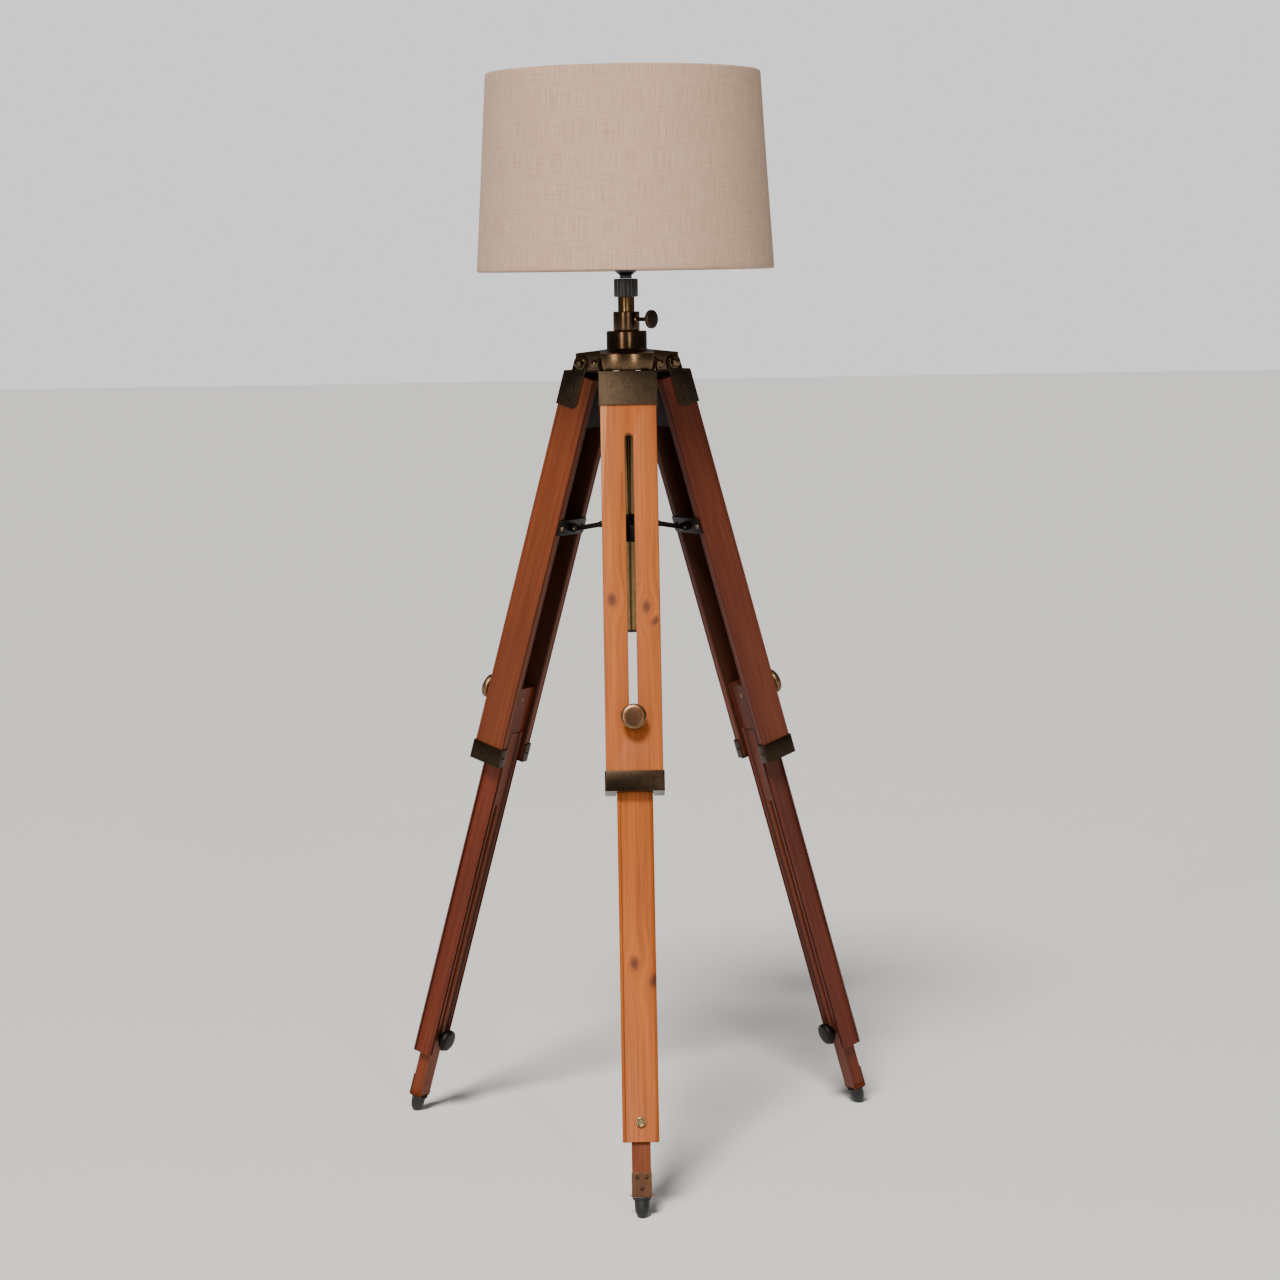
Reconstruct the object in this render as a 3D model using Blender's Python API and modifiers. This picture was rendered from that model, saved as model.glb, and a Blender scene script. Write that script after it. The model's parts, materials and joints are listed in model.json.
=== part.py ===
# Tripod floor lamp: three telescoping wooden legs hinged to a bronze head, a height-adjustable pole
# and a tapered drum shade. Metres, +Z up, feet on z = 0, centred on its own bounding box.
# Each leg is built in its own frame: origin on the hinge axis, +X along the hinge pin,
# -Y towards the outside, and -Z down the leg. Heights of the centre pieces count from the hinges.

import math

import bmesh
import bpy
from mathutils import Matrix, Vector

NAME = "tripod_floor_lamp"
GAP = 0.0003

# Tripod stance
LEG_TILT = math.radians(17.0)
HINGE_RADIUS = 0.057
LEG_LENGTH = 1.2625
FOOT_FLAT = 0.0012
LEG_ANGLES = {"front": 0.0, "right": math.radians(120), "left": math.radians(-120)}

# Upper leg section: slotted board, two rails and a filler block
UPPER_HALF_WIDTH = 0.0415
UPPER_OUTER = -0.0225
UPPER_INNER = 0.0282
BOARD_THICKNESS = 0.0150
RAIL_THICKNESS = 0.0155
UPPER_TOP = 0.0190
UPPER_END = 0.6465
FILLER_END = 0.096
SLOT_HALF_WIDTH = 0.0063

# Middle section: a channel that slides inside the upper one
MIDDLE_HALF_WIDTH = 0.0245
MIDDLE_OUTER = -0.0072
MIDDLE_INNER = 0.0220
MIDDLE_TOP = 0.525
MIDDLE_END = 1.1545
MIDDLE_BLOCK_END = 0.600
MIDDLE_FRONT_THICKNESS = 0.0064
MIDDLE_RAIL_THICKNESS = 0.0094
UPPER_STUD_AT = 0.5435
UPPER_STUD_RADIUS = 0.004
UPPER_KNOB_NECK = 0.0130
MIDDLE_TRAVEL = 0.424

# Lower section: a slotted slider inside the middle one
LOWER_HALF_WIDTH = 0.0145
LOWER_OUTER = -0.0003
LOWER_INNER = 0.0195
LOWER_TOP = 0.6005
LOWER_END = 1.2310
LOWER_BOLT_AT = 1.1263
LOWER_BOLT_RADIUS = 0.003
LOWER_SLOT_HALF_WIDTH = 0.0036
LOWER_TRAVEL = 0.400

# Bronze fittings on the legs
SHEET = 0.002
CAP_END = 0.0705
CAP_DEPTH = 0.034
PIN_RADIUS = 0.004
EAR_RADIUS = 0.0115
BAND_START = 0.620
BAND_END = 0.6500
RETURN_EDGE = 0.0275

# Head and centre, heights from the hinge axes
DRUM_RADIUS = 0.078
DRUM_RIM = 0.0150
DRUM_CROWN = 0.0205
DRUM_BOTTOM = -0.0100
LUG_HALF_WIDTH = 0.0408
BOSS_RADIUS = 0.0305
BOSS_TOP = 0.0480
COLLAR_RADIUS = 0.020
COLLAR_TOP = 0.0771
POLE_RADIUS = 0.0125
POLE_BORE = 0.0128
POLE_WALL = 0.0013
POLE_BOTTOM = -0.4070
POLE_TOP = 0.1245
RING_RADIUS = 0.0184
RING_BOTTOM = 0.0988
RING_TOP = 0.1265
THUMB_ANGLE = math.radians(50)
THUMB_HEIGHT = 0.0652

# Shade
SHADE_BOTTOM_RADIUS = 0.225
SHADE_TOP_RADIUS = 0.2070
SHADE_BOTTOM = 0.1385
SHADE_TOP = 0.4345
CLOTH = 0.0011
WIRE = 0.0020
FITTER_HEIGHT = 0.1560
SHADE_SIDES = 60

# Spreader: a hub that slides on the pole, and three short struts
BRACKET_AT = 0.255
BRACKET_PIVOT = 0.0382
HUB_PIVOT_RADIUS = 0.034
STRUT_SLOPE = math.radians(10)
STRUT_HALF_THICKNESS = 0.0035
CHEEK = 0.0025
PIVOT_PIN = 0.0016
STRUT_SLOT = 0.0130

SIN = math.sin(LEG_TILT)
COS = math.cos(LEG_TILT)
TIP_CENTRE = (LOWER_OUTER + LOWER_INNER) / 2
HINGE_HEIGHT = LEG_LENGTH * COS + TIP_CENTRE * SIN - FOOT_FLAT
TIP_FLANGE_RADIUS = 0.0135
TIP_SHOULDER_RADIUS = 0.0086
TIP_SHOULDER = LEG_LENGTH - 0.0060
TIP_TOP = LOWER_END + 0.0018
FOOT_REACH = HINGE_RADIUS + TIP_SHOULDER * SIN + (TIP_SHOULDER_RADIUS - TIP_CENTRE) * COS
AXIS_Y = (FOOT_REACH - SHADE_BOTTOM_RADIUS) / 2

PIVOT_OUT = BRACKET_AT * SIN - BRACKET_PIVOT * COS
PIVOT_DOWN = BRACKET_AT * COS + BRACKET_PIVOT * SIN
STRUT_RUN = HINGE_RADIUS + PIVOT_OUT - HUB_PIVOT_RADIUS
STRUT_LENGTH = STRUT_RUN / math.cos(STRUT_SLOPE)
HUB_HEIGHT = STRUT_RUN * math.tan(STRUT_SLOPE) - PIVOT_DOWN


def clear_scene():
    for obj in list(bpy.data.objects):
        bpy.data.objects.remove(obj, do_unlink=True)


def new_collection(name):
    group = bpy.data.collections.new(name)
    bpy.context.scene.collection.children.link(group)
    return group


def new_material(name, colour, roughness, metallic=0.0):
    made = bpy.data.materials.new(name)
    made.use_nodes = True
    shader = made.node_tree.nodes["Principled BSDF"]
    shader.inputs["Base Color"].default_value = (*colour, 1.0)
    shader.inputs["Roughness"].default_value = roughness
    shader.inputs["Metallic"].default_value = metallic
    return made


def add_object(name, mesh, finish, parent):
    obj = bpy.data.objects.new(name, mesh)
    PARTS.objects.link(obj)
    obj.parent = parent
    colour, roughness, metallic = FINISHES[finish]
    mesh.materials.append(new_material(name, colour, roughness, metallic))
    return obj


def add_empty(name, parent=None, location=(0, 0, 0), rotation=(0, 0, 0)):
    empty = bpy.data.objects.new(name, None)
    empty.empty_display_size = 0.03
    empty.location = location
    empty.rotation_euler = rotation
    empty.parent = parent
    PARTS.objects.link(empty)
    return empty


def box(name, low, high, finish, parent, bevel=0.0):
    size = Vector(high) - Vector(low)
    centre = (Vector(high) + Vector(low)) / 2
    mesh = bpy.data.meshes.new(name)
    bm = bmesh.new()
    bmesh.ops.create_cube(bm, size=1.0, matrix=Matrix.Translation(centre) @ Matrix.Diagonal((*size, 1.0)))
    bm.to_mesh(mesh)
    bm.free()
    obj = add_object(name, mesh, finish, parent)
    if bevel:
        round_edges(obj, bevel)
    return obj


def round_edges(obj, width, segments=1):
    bevel = obj.modifiers.new("Bevel", "BEVEL")
    bevel.width = width
    bevel.segments = segments
    bevel.limit_method = "ANGLE"
    return bevel


def turned(name, profile, finish, parent, steps=20, closed=False):
    """Solid of revolution about Z: (radius, height) points that run down the outer side."""
    mesh = bpy.data.meshes.new(name)
    count = len(profile)
    edges = [(i, i + 1) for i in range(count - 1)]
    if closed:
        edges.append((count - 1, 0))
    mesh.from_pydata([(radius, 0.0, height) for radius, height in profile], edges, [])
    obj = add_object(name, mesh, finish, parent)
    screw = obj.modifiers.new("Screw", "SCREW")
    screw.steps = steps
    screw.render_steps = steps
    screw.use_merge_vertices = True
    screw.merge_threshold = 0.00002
    screw.use_smooth_shade = False
    return obj


def tube(name, inner, outer, bottom, top, finish, parent, steps=20):
    profile = [(inner, top), (outer, top), (outer, bottom), (inner, bottom)]
    return turned(name, profile, finish, parent, steps, closed=True)


def bar(name, start, end, radius, finish, parent, sides=16):
    """Round bar between two points."""
    start = Vector(start)
    along = Vector(end) - start
    turn = along.to_track_quat("Z", "Y").to_matrix().to_4x4()
    mesh = bpy.data.meshes.new(name)
    bm = bmesh.new()
    place = Matrix.Translation(start + along / 2) @ turn
    bmesh.ops.create_cone(bm, cap_ends=True, segments=sides, radius1=radius, radius2=radius,
                          depth=along.length, matrix=place)
    bm.to_mesh(mesh)
    bm.free()
    return add_object(name, mesh, finish, parent)


def outline(name, points, thickness, finish, parent, place=Matrix.Identity(4)):
    """Flat plate from an outline in its own XY plane, centred on it, moved by place."""
    curve = bpy.data.curves.new(name, "CURVE")
    curve.dimensions = "2D"
    curve.fill_mode = "BOTH"
    curve.extrude = thickness / 2
    spline = curve.splines.new("POLY")
    spline.points.add(len(points) - 1)
    for point, (x, y) in zip(spline.points, points):
        point.co = (x, y, 0.0, 1.0)
    spline.use_cyclic_u = True
    guide = bpy.data.objects.new(name, curve)
    PARTS.objects.link(guide)
    bpy.context.view_layer.update()
    graph = bpy.context.evaluated_depsgraph_get()
    mesh = bpy.data.meshes.new_from_object(guide.evaluated_get(graph))
    bpy.data.objects.remove(guide, do_unlink=True)
    bm = bmesh.new()
    bm.from_mesh(mesh)
    bmesh.ops.remove_doubles(bm, verts=bm.verts, dist=0.00002)
    bmesh.ops.transform(bm, matrix=place, verts=bm.verts)
    bmesh.ops.recalc_face_normals(bm, faces=bm.faces)
    bm.to_mesh(mesh)
    bm.free()
    mesh.materials.clear()
    return add_object(name, mesh, finish, parent)


def arc(centre, radius, start, end, count):
    """Points on an arc in degrees, from start to end."""
    step = math.radians(end - start) / (count - 1)
    first = math.radians(start)
    angles = [first + step * i for i in range(count)]
    return [(centre[0] + radius * math.cos(a), centre[1] + radius * math.sin(a)) for a in angles]


def stadium(half_length, radius, count=7):
    """Long round-ended outline along Y."""
    return arc((0, half_length), radius, 0, 180, count) + arc((0, -half_length), radius, 180, 360, count)


def combine(target, other, operation):
    """Joins other to target or cuts it away, and keeps other as a hidden helper."""
    boolean = target.modifiers.new(other.name, "BOOLEAN")
    boolean.operation = operation
    boolean.solver = "EXACT"
    boolean.object = other
    PARTS.objects.unlink(other)
    HELPERS.objects.link(other)
    other.hide_render = True
    other.display_type = "WIRE"


def cut(target, *others):
    for other in others:
        combine(target, other, "DIFFERENCE")


def join(target, *others):
    for other in others:
        combine(target, other, "UNION")


def facing(axis):
    """Turns an outline's XY plane so that its normal lies along axis, with its Y staying vertical."""
    if axis == "X":
        return Matrix(((0, 0, 1, 0), (1, 0, 0, 0), (0, 1, 0, 0), (0, 0, 0, 1)))
    return Matrix(((-1, 0, 0, 0), (0, 0, 1, 0), (0, 1, 0, 0), (0, 0, 0, 1)))


def slot_cutter(name, half_width, start, end, low_y, high_y, leg):
    """Round-ended cutter through a board, from start to end down the leg."""
    half_length = (end - start) / 2 - half_width
    place = Matrix.Translation((0, (low_y + high_y) / 2, -(start + end) / 2)) @ facing("Y")
    return outline(name, stadium(half_length, half_width), high_y - low_y, "helper", leg, place)


# Centre pieces

def make_head(base):
    """Round casting with a low conical top, notched between its three lugs, and a boss for the pole."""
    casting = turned("head_casting", [
        (0, BOSS_TOP), (BOSS_RADIUS - 0.003, BOSS_TOP), (BOSS_RADIUS - 0.0008, BOSS_TOP - 0.0012),
        (BOSS_RADIUS, BOSS_TOP - 0.0035), (BOSS_RADIUS, DRUM_CROWN), (DRUM_RADIUS - 0.0015, DRUM_RIM),
        (DRUM_RADIUS, DRUM_RIM - 0.0015), (DRUM_RADIUS, DRUM_BOTTOM), (0, DRUM_BOTTOM),
    ], "bronze", base, steps=48)
    corner = LUG_HALF_WIDTH / math.sin(math.radians(60))
    turn_notch = math.radians(120)
    for side, angle in LEG_ANGLES.items():
        turn = add_empty("lug_" + side, base, rotation=(0, 0, angle))
        along = Vector((0, -1))
        across = Vector((math.sin(turn_notch), -math.cos(turn_notch)))
        start = (along + across) * corner
        notch = [start, start + along * DRUM_RADIUS, start + (along + across) * DRUM_RADIUS,
                 start + across * DRUM_RADIUS]
        cut(casting, outline("lug_notch_" + side, notch, 0.1, "helper", turn))
        reach = LUG_HALF_WIDTH + 0.01
        bore = bar("lug_bore_" + side, (-reach, -HINGE_RADIUS, 0), (reach, -HINGE_RADIUS, 0),
                   PIN_RADIUS + 0.0002, "helper", turn)
        cut(casting, bore)
    cut(casting, bar("pole_bore", (0, 0, -0.1), (0, 0, 0.1), POLE_BORE, "helper", base, sides=24))
    return casting


def make_collar(base):
    low = BOSS_TOP + GAP
    rim = 0.0012
    collar = turned("pole_collar", [
        (POLE_BORE, COLLAR_TOP), (COLLAR_RADIUS - rim, COLLAR_TOP), (COLLAR_RADIUS, COLLAR_TOP - rim),
        (COLLAR_RADIUS, low), (POLE_BORE, low),
    ], "bronze", base, closed=True)
    turn = add_empty("thumbscrew_axis", base, (0, 0, THUMB_HEIGHT), (math.radians(90), 0, THUMB_ANGLE))
    cut(collar, bar("thumbscrew_bore", (0, 0, 0.005), (0, 0, 0.03), 0.0033, "helper", turn))
    turned("thumbscrew", [
        (0, 0.0520), (0.0130, 0.0520), (0.0145, 0.0505), (0.0145, 0.0475), (0.0130, 0.0460),
        (0.0050, 0.0460), (0.0042, 0.0440), (0.0030, 0.0430), (0.0030, POLE_RADIUS + 0.0006),
        (0, POLE_RADIUS + 0.0006),
    ], "bronze", turn, steps=16)


def make_pole(base):
    inner = POLE_RADIUS - POLE_WALL
    tube("pole", inner, POLE_RADIUS, POLE_BOTTOM, POLE_TOP, "brass", base)
    turned("pole_gland", [
        (0.0045, POLE_BOTTOM + 0.012), (inner - GAP, POLE_BOTTOM + 0.012), (inner - GAP, POLE_BOTTOM - GAP),
        (POLE_RADIUS, POLE_BOTTOM - GAP), (POLE_RADIUS, POLE_BOTTOM - 0.004),
        (0.0045, POLE_BOTTOM - 0.004),
    ], "black", base, steps=16, closed=True)


def fluted(radius, depth, flutes):
    """Outline of a ring with rounded flutes."""
    points = []
    for i in range(flutes * 4):
        angle = math.tau * i / (flutes * 4)
        points.append(((radius - depth * (i % 4 == 0)) * math.cos(angle),
                       (radius - depth * (i % 4 == 0)) * math.sin(angle)))
    return points


def make_holder(base):
    height = RING_TOP - RING_BOTTOM
    place = Matrix.Translation((0, 0, (RING_TOP + RING_BOTTOM) / 2))
    ring = outline("holder_ring", fluted(RING_RADIUS, 0.0014, 16), height, "black", base, place)
    bottom = RING_BOTTOM - 0.01
    cut(ring, bar("ring_bore", (0, 0, bottom), (0, 0, RING_TOP + 0.01), POLE_BORE, "helper", base, 20))
    turned("lampholder", [
        (0.0148, 0.1960), (0.0175, 0.1960), (0.0175, 0.1400), (0.0165, 0.1375), (0.0088, 0.1300),
        (0.0088, RING_TOP + GAP), (0.0050, RING_TOP + GAP), (0.0050, 0.1420), (0.0148, 0.1440),
    ], "black", base, closed=True)
    tube("socket_insert", 0.0137, 0.0145, 0.1480, 0.1920, "brass", base)
    low = FITTER_HEIGHT + 0.0012 + GAP
    tube("shade_clamp_ring", 0.0178, 0.0245, low, low + 0.006, "black", base)
    turned("bulb_cap", [
        (0, 0.2000), (0.0132, 0.2000), (0.0132, 0.1720), (0.0110, 0.1680), (0.0050, 0.1650), (0, 0.1650),
    ], "steel", base)
    globe = arc((0, 0.2660), 0.030, 90, -40, 9)
    globe = [(max(x, 0.0), y) for x, y in globe]
    turned("bulb_glass", globe + [(0.0150, 0.2160), (0.0136, 0.2000 + GAP), (0, 0.2000 + GAP)],
           "glass", base)


def make_shade(base):
    slope = (SHADE_BOTTOM_RADIUS - SHADE_TOP_RADIUS) / (SHADE_TOP - SHADE_BOTTOM)
    turned("shade_cover", [
        (SHADE_TOP_RADIUS - CLOTH, SHADE_TOP), (SHADE_TOP_RADIUS, SHADE_TOP),
        (SHADE_BOTTOM_RADIUS, SHADE_BOTTOM), (SHADE_BOTTOM_RADIUS - CLOTH, SHADE_BOTTOM),
    ], "linen", base, SHADE_SIDES, closed=True)
    wire_ring("shade_top_ring", SHADE_TOP - 0.0035, slope, base)
    ring_height = SHADE_BOTTOM + 0.0035
    spider = wire_ring("shade_spider", ring_height, slope, base)
    ring_radius = SHADE_BOTTOM_RADIUS - CLOTH - GAP - WIRE - slope * 0.0035
    low = FITTER_HEIGHT - 0.0012
    join(spider, tube("fitter", 0.0179, 0.0262, low, low + 0.0024, "helper", base))
    for i in range(3):
        angle = math.radians(30 + 120 * i)
        across = Vector((math.cos(angle), math.sin(angle), 0))
        start = across * 0.0230 + Vector((0, 0, FITTER_HEIGHT - 0.0010))
        spoke = bar(f"spoke_{i}", start, across * ring_radius + Vector((0, 0, ring_height)),
                    0.0016, "helper", base, sides=8)
        join(spider, spoke)


def wire_ring(name, height, slope, base):
    """Round wire ring just inside the cover."""
    radius = SHADE_BOTTOM_RADIUS - slope * (height - SHADE_BOTTOM) - CLOTH - GAP - WIRE
    section = arc((radius, height), WIRE, 90, -210, 6)
    return turned(name, section, "steel", base, SHADE_SIDES, closed=True)


# Spreader

def make_hub(base):
    hub = tube("spreader_hub", POLE_BORE + 0.0002, 0.0175,
               HUB_HEIGHT - 0.0140, HUB_HEIGHT + 0.0140, "black", base)
    lug = 0.0055
    for side, angle in LEG_ANGLES.items():
        turn = add_empty("hub_lugs_" + side, base, (0, 0, HUB_HEIGHT), (0, 0, angle))
        shape = [(-0.0160, -lug), *arc((-HUB_PIVOT_RADIUS, 0), lug, 270, 90, 7), (-0.0160, lug)]
        for hand in (-1, 1):
            offset = hand * (STRUT_HALF_THICKNESS + 0.0004 + CHEEK / 2)
            place = Matrix.Translation((offset, 0, 0)) @ facing("X")
            join(hub, outline(f"hub_cheek_{side}_{hand}", shape, CHEEK, "helper", turn, place))
        reach = STRUT_HALF_THICKNESS + CHEEK + 0.0016
        join(hub, bar("hub_pin_" + side, (-reach, -HUB_PIVOT_RADIUS, 0), (reach, -HUB_PIVOT_RADIUS, 0),
                      PIVOT_PIN, "helper", turn, sides=8))


def make_strut(side, leg):
    """Flat bar from the bracket's pin to the hub's pin, where a slot takes up the sliding."""
    pivot = add_empty("strut_pivot_" + side, leg, (0, BRACKET_PIVOT, -BRACKET_AT),
                      (LEG_TILT + STRUT_SLOPE, 0, 0))
    half = 0.0038
    eye = 0.0054
    shape = [*arc((0, 0), eye, 45, 315, 8), (0.0090, -half), (STRUT_LENGTH - STRUT_SLOT - 0.008, -half),
             *arc((STRUT_LENGTH, 0), eye, -90, 90, 7), (STRUT_LENGTH - STRUT_SLOT, eye),
             (STRUT_LENGTH - STRUT_SLOT - 0.008, half), (0.0090, half)]
    shape.insert(10, (STRUT_LENGTH - STRUT_SLOT, -eye))
    strut = outline("strut_" + side, shape, 2 * STRUT_HALF_THICKNESS, "bronze", pivot, facing("X"))
    cut(strut, bar("strut_eye_" + side, (-0.01, 0, 0), (0.01, 0, 0),
                   PIVOT_PIN + 0.0003, "helper", pivot, 10))
    slot = [*arc((STRUT_LENGTH + 0.0002, 0), 0.0034, -90, 90, 7),
            *arc((STRUT_LENGTH - STRUT_SLOT, 0), 0.0034, 90, 270, 7)]
    cut(strut, outline("strut_slot_" + side, slot, 0.02, "helper", pivot, facing("X")))


def make_bracket(side, leg):
    half_height = 0.0125
    face = UPPER_INNER + GAP
    width = UPPER_HALF_WIDTH - 0.002
    bracket = box("bracket_" + side, (-width, face, -BRACKET_AT - half_height),
                  (width, face + 0.0025, -BRACKET_AT + half_height), "black", leg)
    ear = 0.0052
    shape = [(face + 0.0010, -BRACKET_AT - ear), *arc((BRACKET_PIVOT, -BRACKET_AT), ear, -90, 90, 7),
             (face + 0.0010, -BRACKET_AT + ear)]
    for hand in (-1, 1):
        offset = hand * (STRUT_HALF_THICKNESS + 0.0004 + CHEEK / 2)
        place = Matrix.Translation((offset, 0, 0)) @ facing("X")
        join(bracket, outline(f"bracket_ear_{side}_{hand}", shape, CHEEK, "helper", leg, place))
    reach = STRUT_HALF_THICKNESS + CHEEK + 0.0022
    join(bracket, bar("bracket_pin_" + side, (-reach, BRACKET_PIVOT, -BRACKET_AT),
                      (reach, BRACKET_PIVOT, -BRACKET_AT), PIVOT_PIN, "helper", leg, sides=8))


# Legs

def make_upper(side, leg):
    board_back = UPPER_OUTER + BOARD_THICKNESS
    rail = UPPER_HALF_WIDTH - RAIL_THICKNESS
    board = box("upper_board_" + side, (-UPPER_HALF_WIDTH, UPPER_OUTER, -UPPER_END),
                (UPPER_HALF_WIDTH, board_back, -UPPER_TOP), "wood", leg, 0.0008)
    block = box("filler_block_" + side, (GAP - rail, board_back - 0.002, -FILLER_END),
                (rail - GAP, UPPER_INNER - 0.0035, -UPPER_TOP - 0.001), "helper", leg)
    join(board, block)
    start = UPPER_STUD_AT - MIDDLE_TRAVEL - 0.0062
    cut(board, slot_cutter("upper_slot_" + side, SLOT_HALF_WIDTH, start, UPPER_STUD_AT + 0.0065,
                           UPPER_OUTER - 0.01, board_back + 0.004, leg))
    for hand, name in ((-1, "upper_rail_a_"), (1, "upper_rail_b_")):
        low_x, high_x = sorted((hand * rail, hand * UPPER_HALF_WIDTH))
        box(name + side, (low_x, board_back + GAP, -UPPER_END), (high_x, UPPER_INNER, -UPPER_TOP),
            "wood", leg, 0.0008)


def make_cap(side, leg):
    """Bronze hinge cap: a front plate and two cheeks, each with a round ear on the pin."""
    outer = UPPER_OUTER - GAP
    reach = UPPER_HALF_WIDTH + GAP + SHEET
    top = UPPER_TOP - 0.001
    cap = box("leg_cap_" + side, (-reach, outer - SHEET, -CAP_END), (reach, outer, -top), "bronze", leg)
    inner = outer + CAP_DEPTH
    radius = 0.012
    shape = [(outer - SHEET / 2, -top), (outer - SHEET / 2, -CAP_END),
             *arc((inner - radius, radius - CAP_END), radius, 270, 360, 4), (inner, -top),
             *arc((0, 0), EAR_RADIUS, 0, 180, 8), (-EAR_RADIUS, -top)]
    for hand in (-1, 1):
        place = Matrix.Translation((hand * (reach - SHEET / 2), 0, 0)) @ facing("X")
        join(cap, outline(f"cap_cheek_{side}_{hand}", shape, SHEET, "helper", leg, place))
    cut(cap, bar("cap_bore_" + side, (-0.06, 0, 0), (0.06, 0, 0), PIN_RADIUS + GAP, "helper", leg))


def make_hinge_pin(side, base, angle):
    turn = add_empty("hinge_pin_axis_" + side, base, rotation=(0, 0, angle))
    along = add_empty("hinge_pin_turn_" + side, turn, (0, -HINGE_RADIUS, 0), (0, math.radians(90), 0))
    face = UPPER_HALF_WIDTH + 2 * GAP + SHEET
    half = [(0, face + 0.0105), (0.0045, face + 0.0095), (0.0075, face + 0.0055), (0.0075, face + 0.0018),
            (0.0092, face + 0.0018), (0.0092, face), (PIN_RADIUS, face)]
    turned("hinge_pin_" + side, half + [(r, -z) for r, z in reversed(half)], "bronze", along, steps=12)


def make_band(side, leg):
    """Bronze band round the upper section's end, turned in under the wood and on to its inner face."""
    outer = UPPER_HALF_WIDTH + GAP
    front = UPPER_OUTER - GAP
    back = UPPER_INNER + GAP
    band = box("band_" + side, (-outer - SHEET, front - SHEET, -BAND_END),
               (outer + SHEET, back + SHEET, -BAND_START), "bronze", leg, 0.0008)
    hollow = box("band_hollow_" + side, (-outer, front, -UPPER_END - GAP), (outer, back, 0), "helper", leg)
    way = box("band_way_" + side, (-RETURN_EDGE, UPPER_OUTER + BOARD_THICKNESS - 0.0002, -0.7),
              (RETURN_EDGE, 0.1, -0.5), "helper", leg)
    cut(band, hollow, way)


def make_middle(side, leg):
    channel = MIDDLE_HALF_WIDTH - MIDDLE_RAIL_THICKNESS
    stage = box("middle_stage_" + side, (-MIDDLE_HALF_WIDTH, MIDDLE_OUTER, -MIDDLE_END),
                (MIDDLE_HALF_WIDTH, MIDDLE_INNER, -MIDDLE_TOP), "wood", leg, 0.0008)
    cut(stage, box("middle_channel_" + side, (-channel, MIDDLE_OUTER + MIDDLE_FRONT_THICKNESS, -1.3),
                   (channel, 0.1, -MIDDLE_BLOCK_END), "helper", leg))
    for name, at, radius in (("upper_bolt_hole_", UPPER_STUD_AT, UPPER_STUD_RADIUS + GAP),
                             ("lower_bolt_hole_", LOWER_BOLT_AT, LOWER_BOLT_RADIUS + GAP)):
        cut(stage, bar(name + side, (0, -0.05, -at), (0, 0.05, -at), radius, "helper", leg, 12))


def make_lower(side, leg):
    stage = box("lower_stage_" + side, (-LOWER_HALF_WIDTH, LOWER_OUTER, -LOWER_END),
                (LOWER_HALF_WIDTH, LOWER_INNER, -LOWER_TOP), "wood", leg, 0.0008)
    start = LOWER_BOLT_AT - LOWER_TRAVEL - LOWER_SLOT_HALF_WIDTH
    cut(stage, slot_cutter("lower_slot_" + side, LOWER_SLOT_HALF_WIDTH, start,
                           LOWER_BOLT_AT + LOWER_SLOT_HALF_WIDTH,
                           LOWER_OUTER - 0.01, LOWER_INNER + 0.01, leg))
    width = LOWER_HALF_WIDTH
    plate = box("foot_plate_" + side, (-width, LOWER_OUTER - GAP - 0.0012, -LOWER_END - 0.0014),
                (width, LOWER_OUTER - GAP, -LOWER_END + 0.034), "bronze", leg)
    lip = box("foot_lip_" + side, (-width, LOWER_OUTER - GAP - 0.0006, -LOWER_END - 0.0014),
              (width, LOWER_INNER, -LOWER_END - GAP), "helper", leg)
    join(plate, lip)
    centre = add_empty("foot_axis_" + side, leg, (0, TIP_CENTRE, 0))
    radius = TIP_FLANGE_RADIUS
    tip = turned("foot_tip_" + side, [
        (0, -TIP_TOP), (radius, -TIP_TOP), (radius, -TIP_TOP - 0.0030), (0.0112, -TIP_TOP - 0.0036),
        (0.0106, -TIP_TOP - 0.0150), (TIP_SHOULDER_RADIUS, -TIP_SHOULDER), (0.0060, -LEG_LENGTH + 0.0022),
        (0.0035, -LEG_LENGTH + 0.0004), (0, -LEG_LENGTH),
    ], "black", centre, steps=16)
    ground = box("ground_" + side, (-0.5, -0.7, -0.1), (0.5, 0.5, 0), "helper", None)
    cut(tip, ground)


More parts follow.
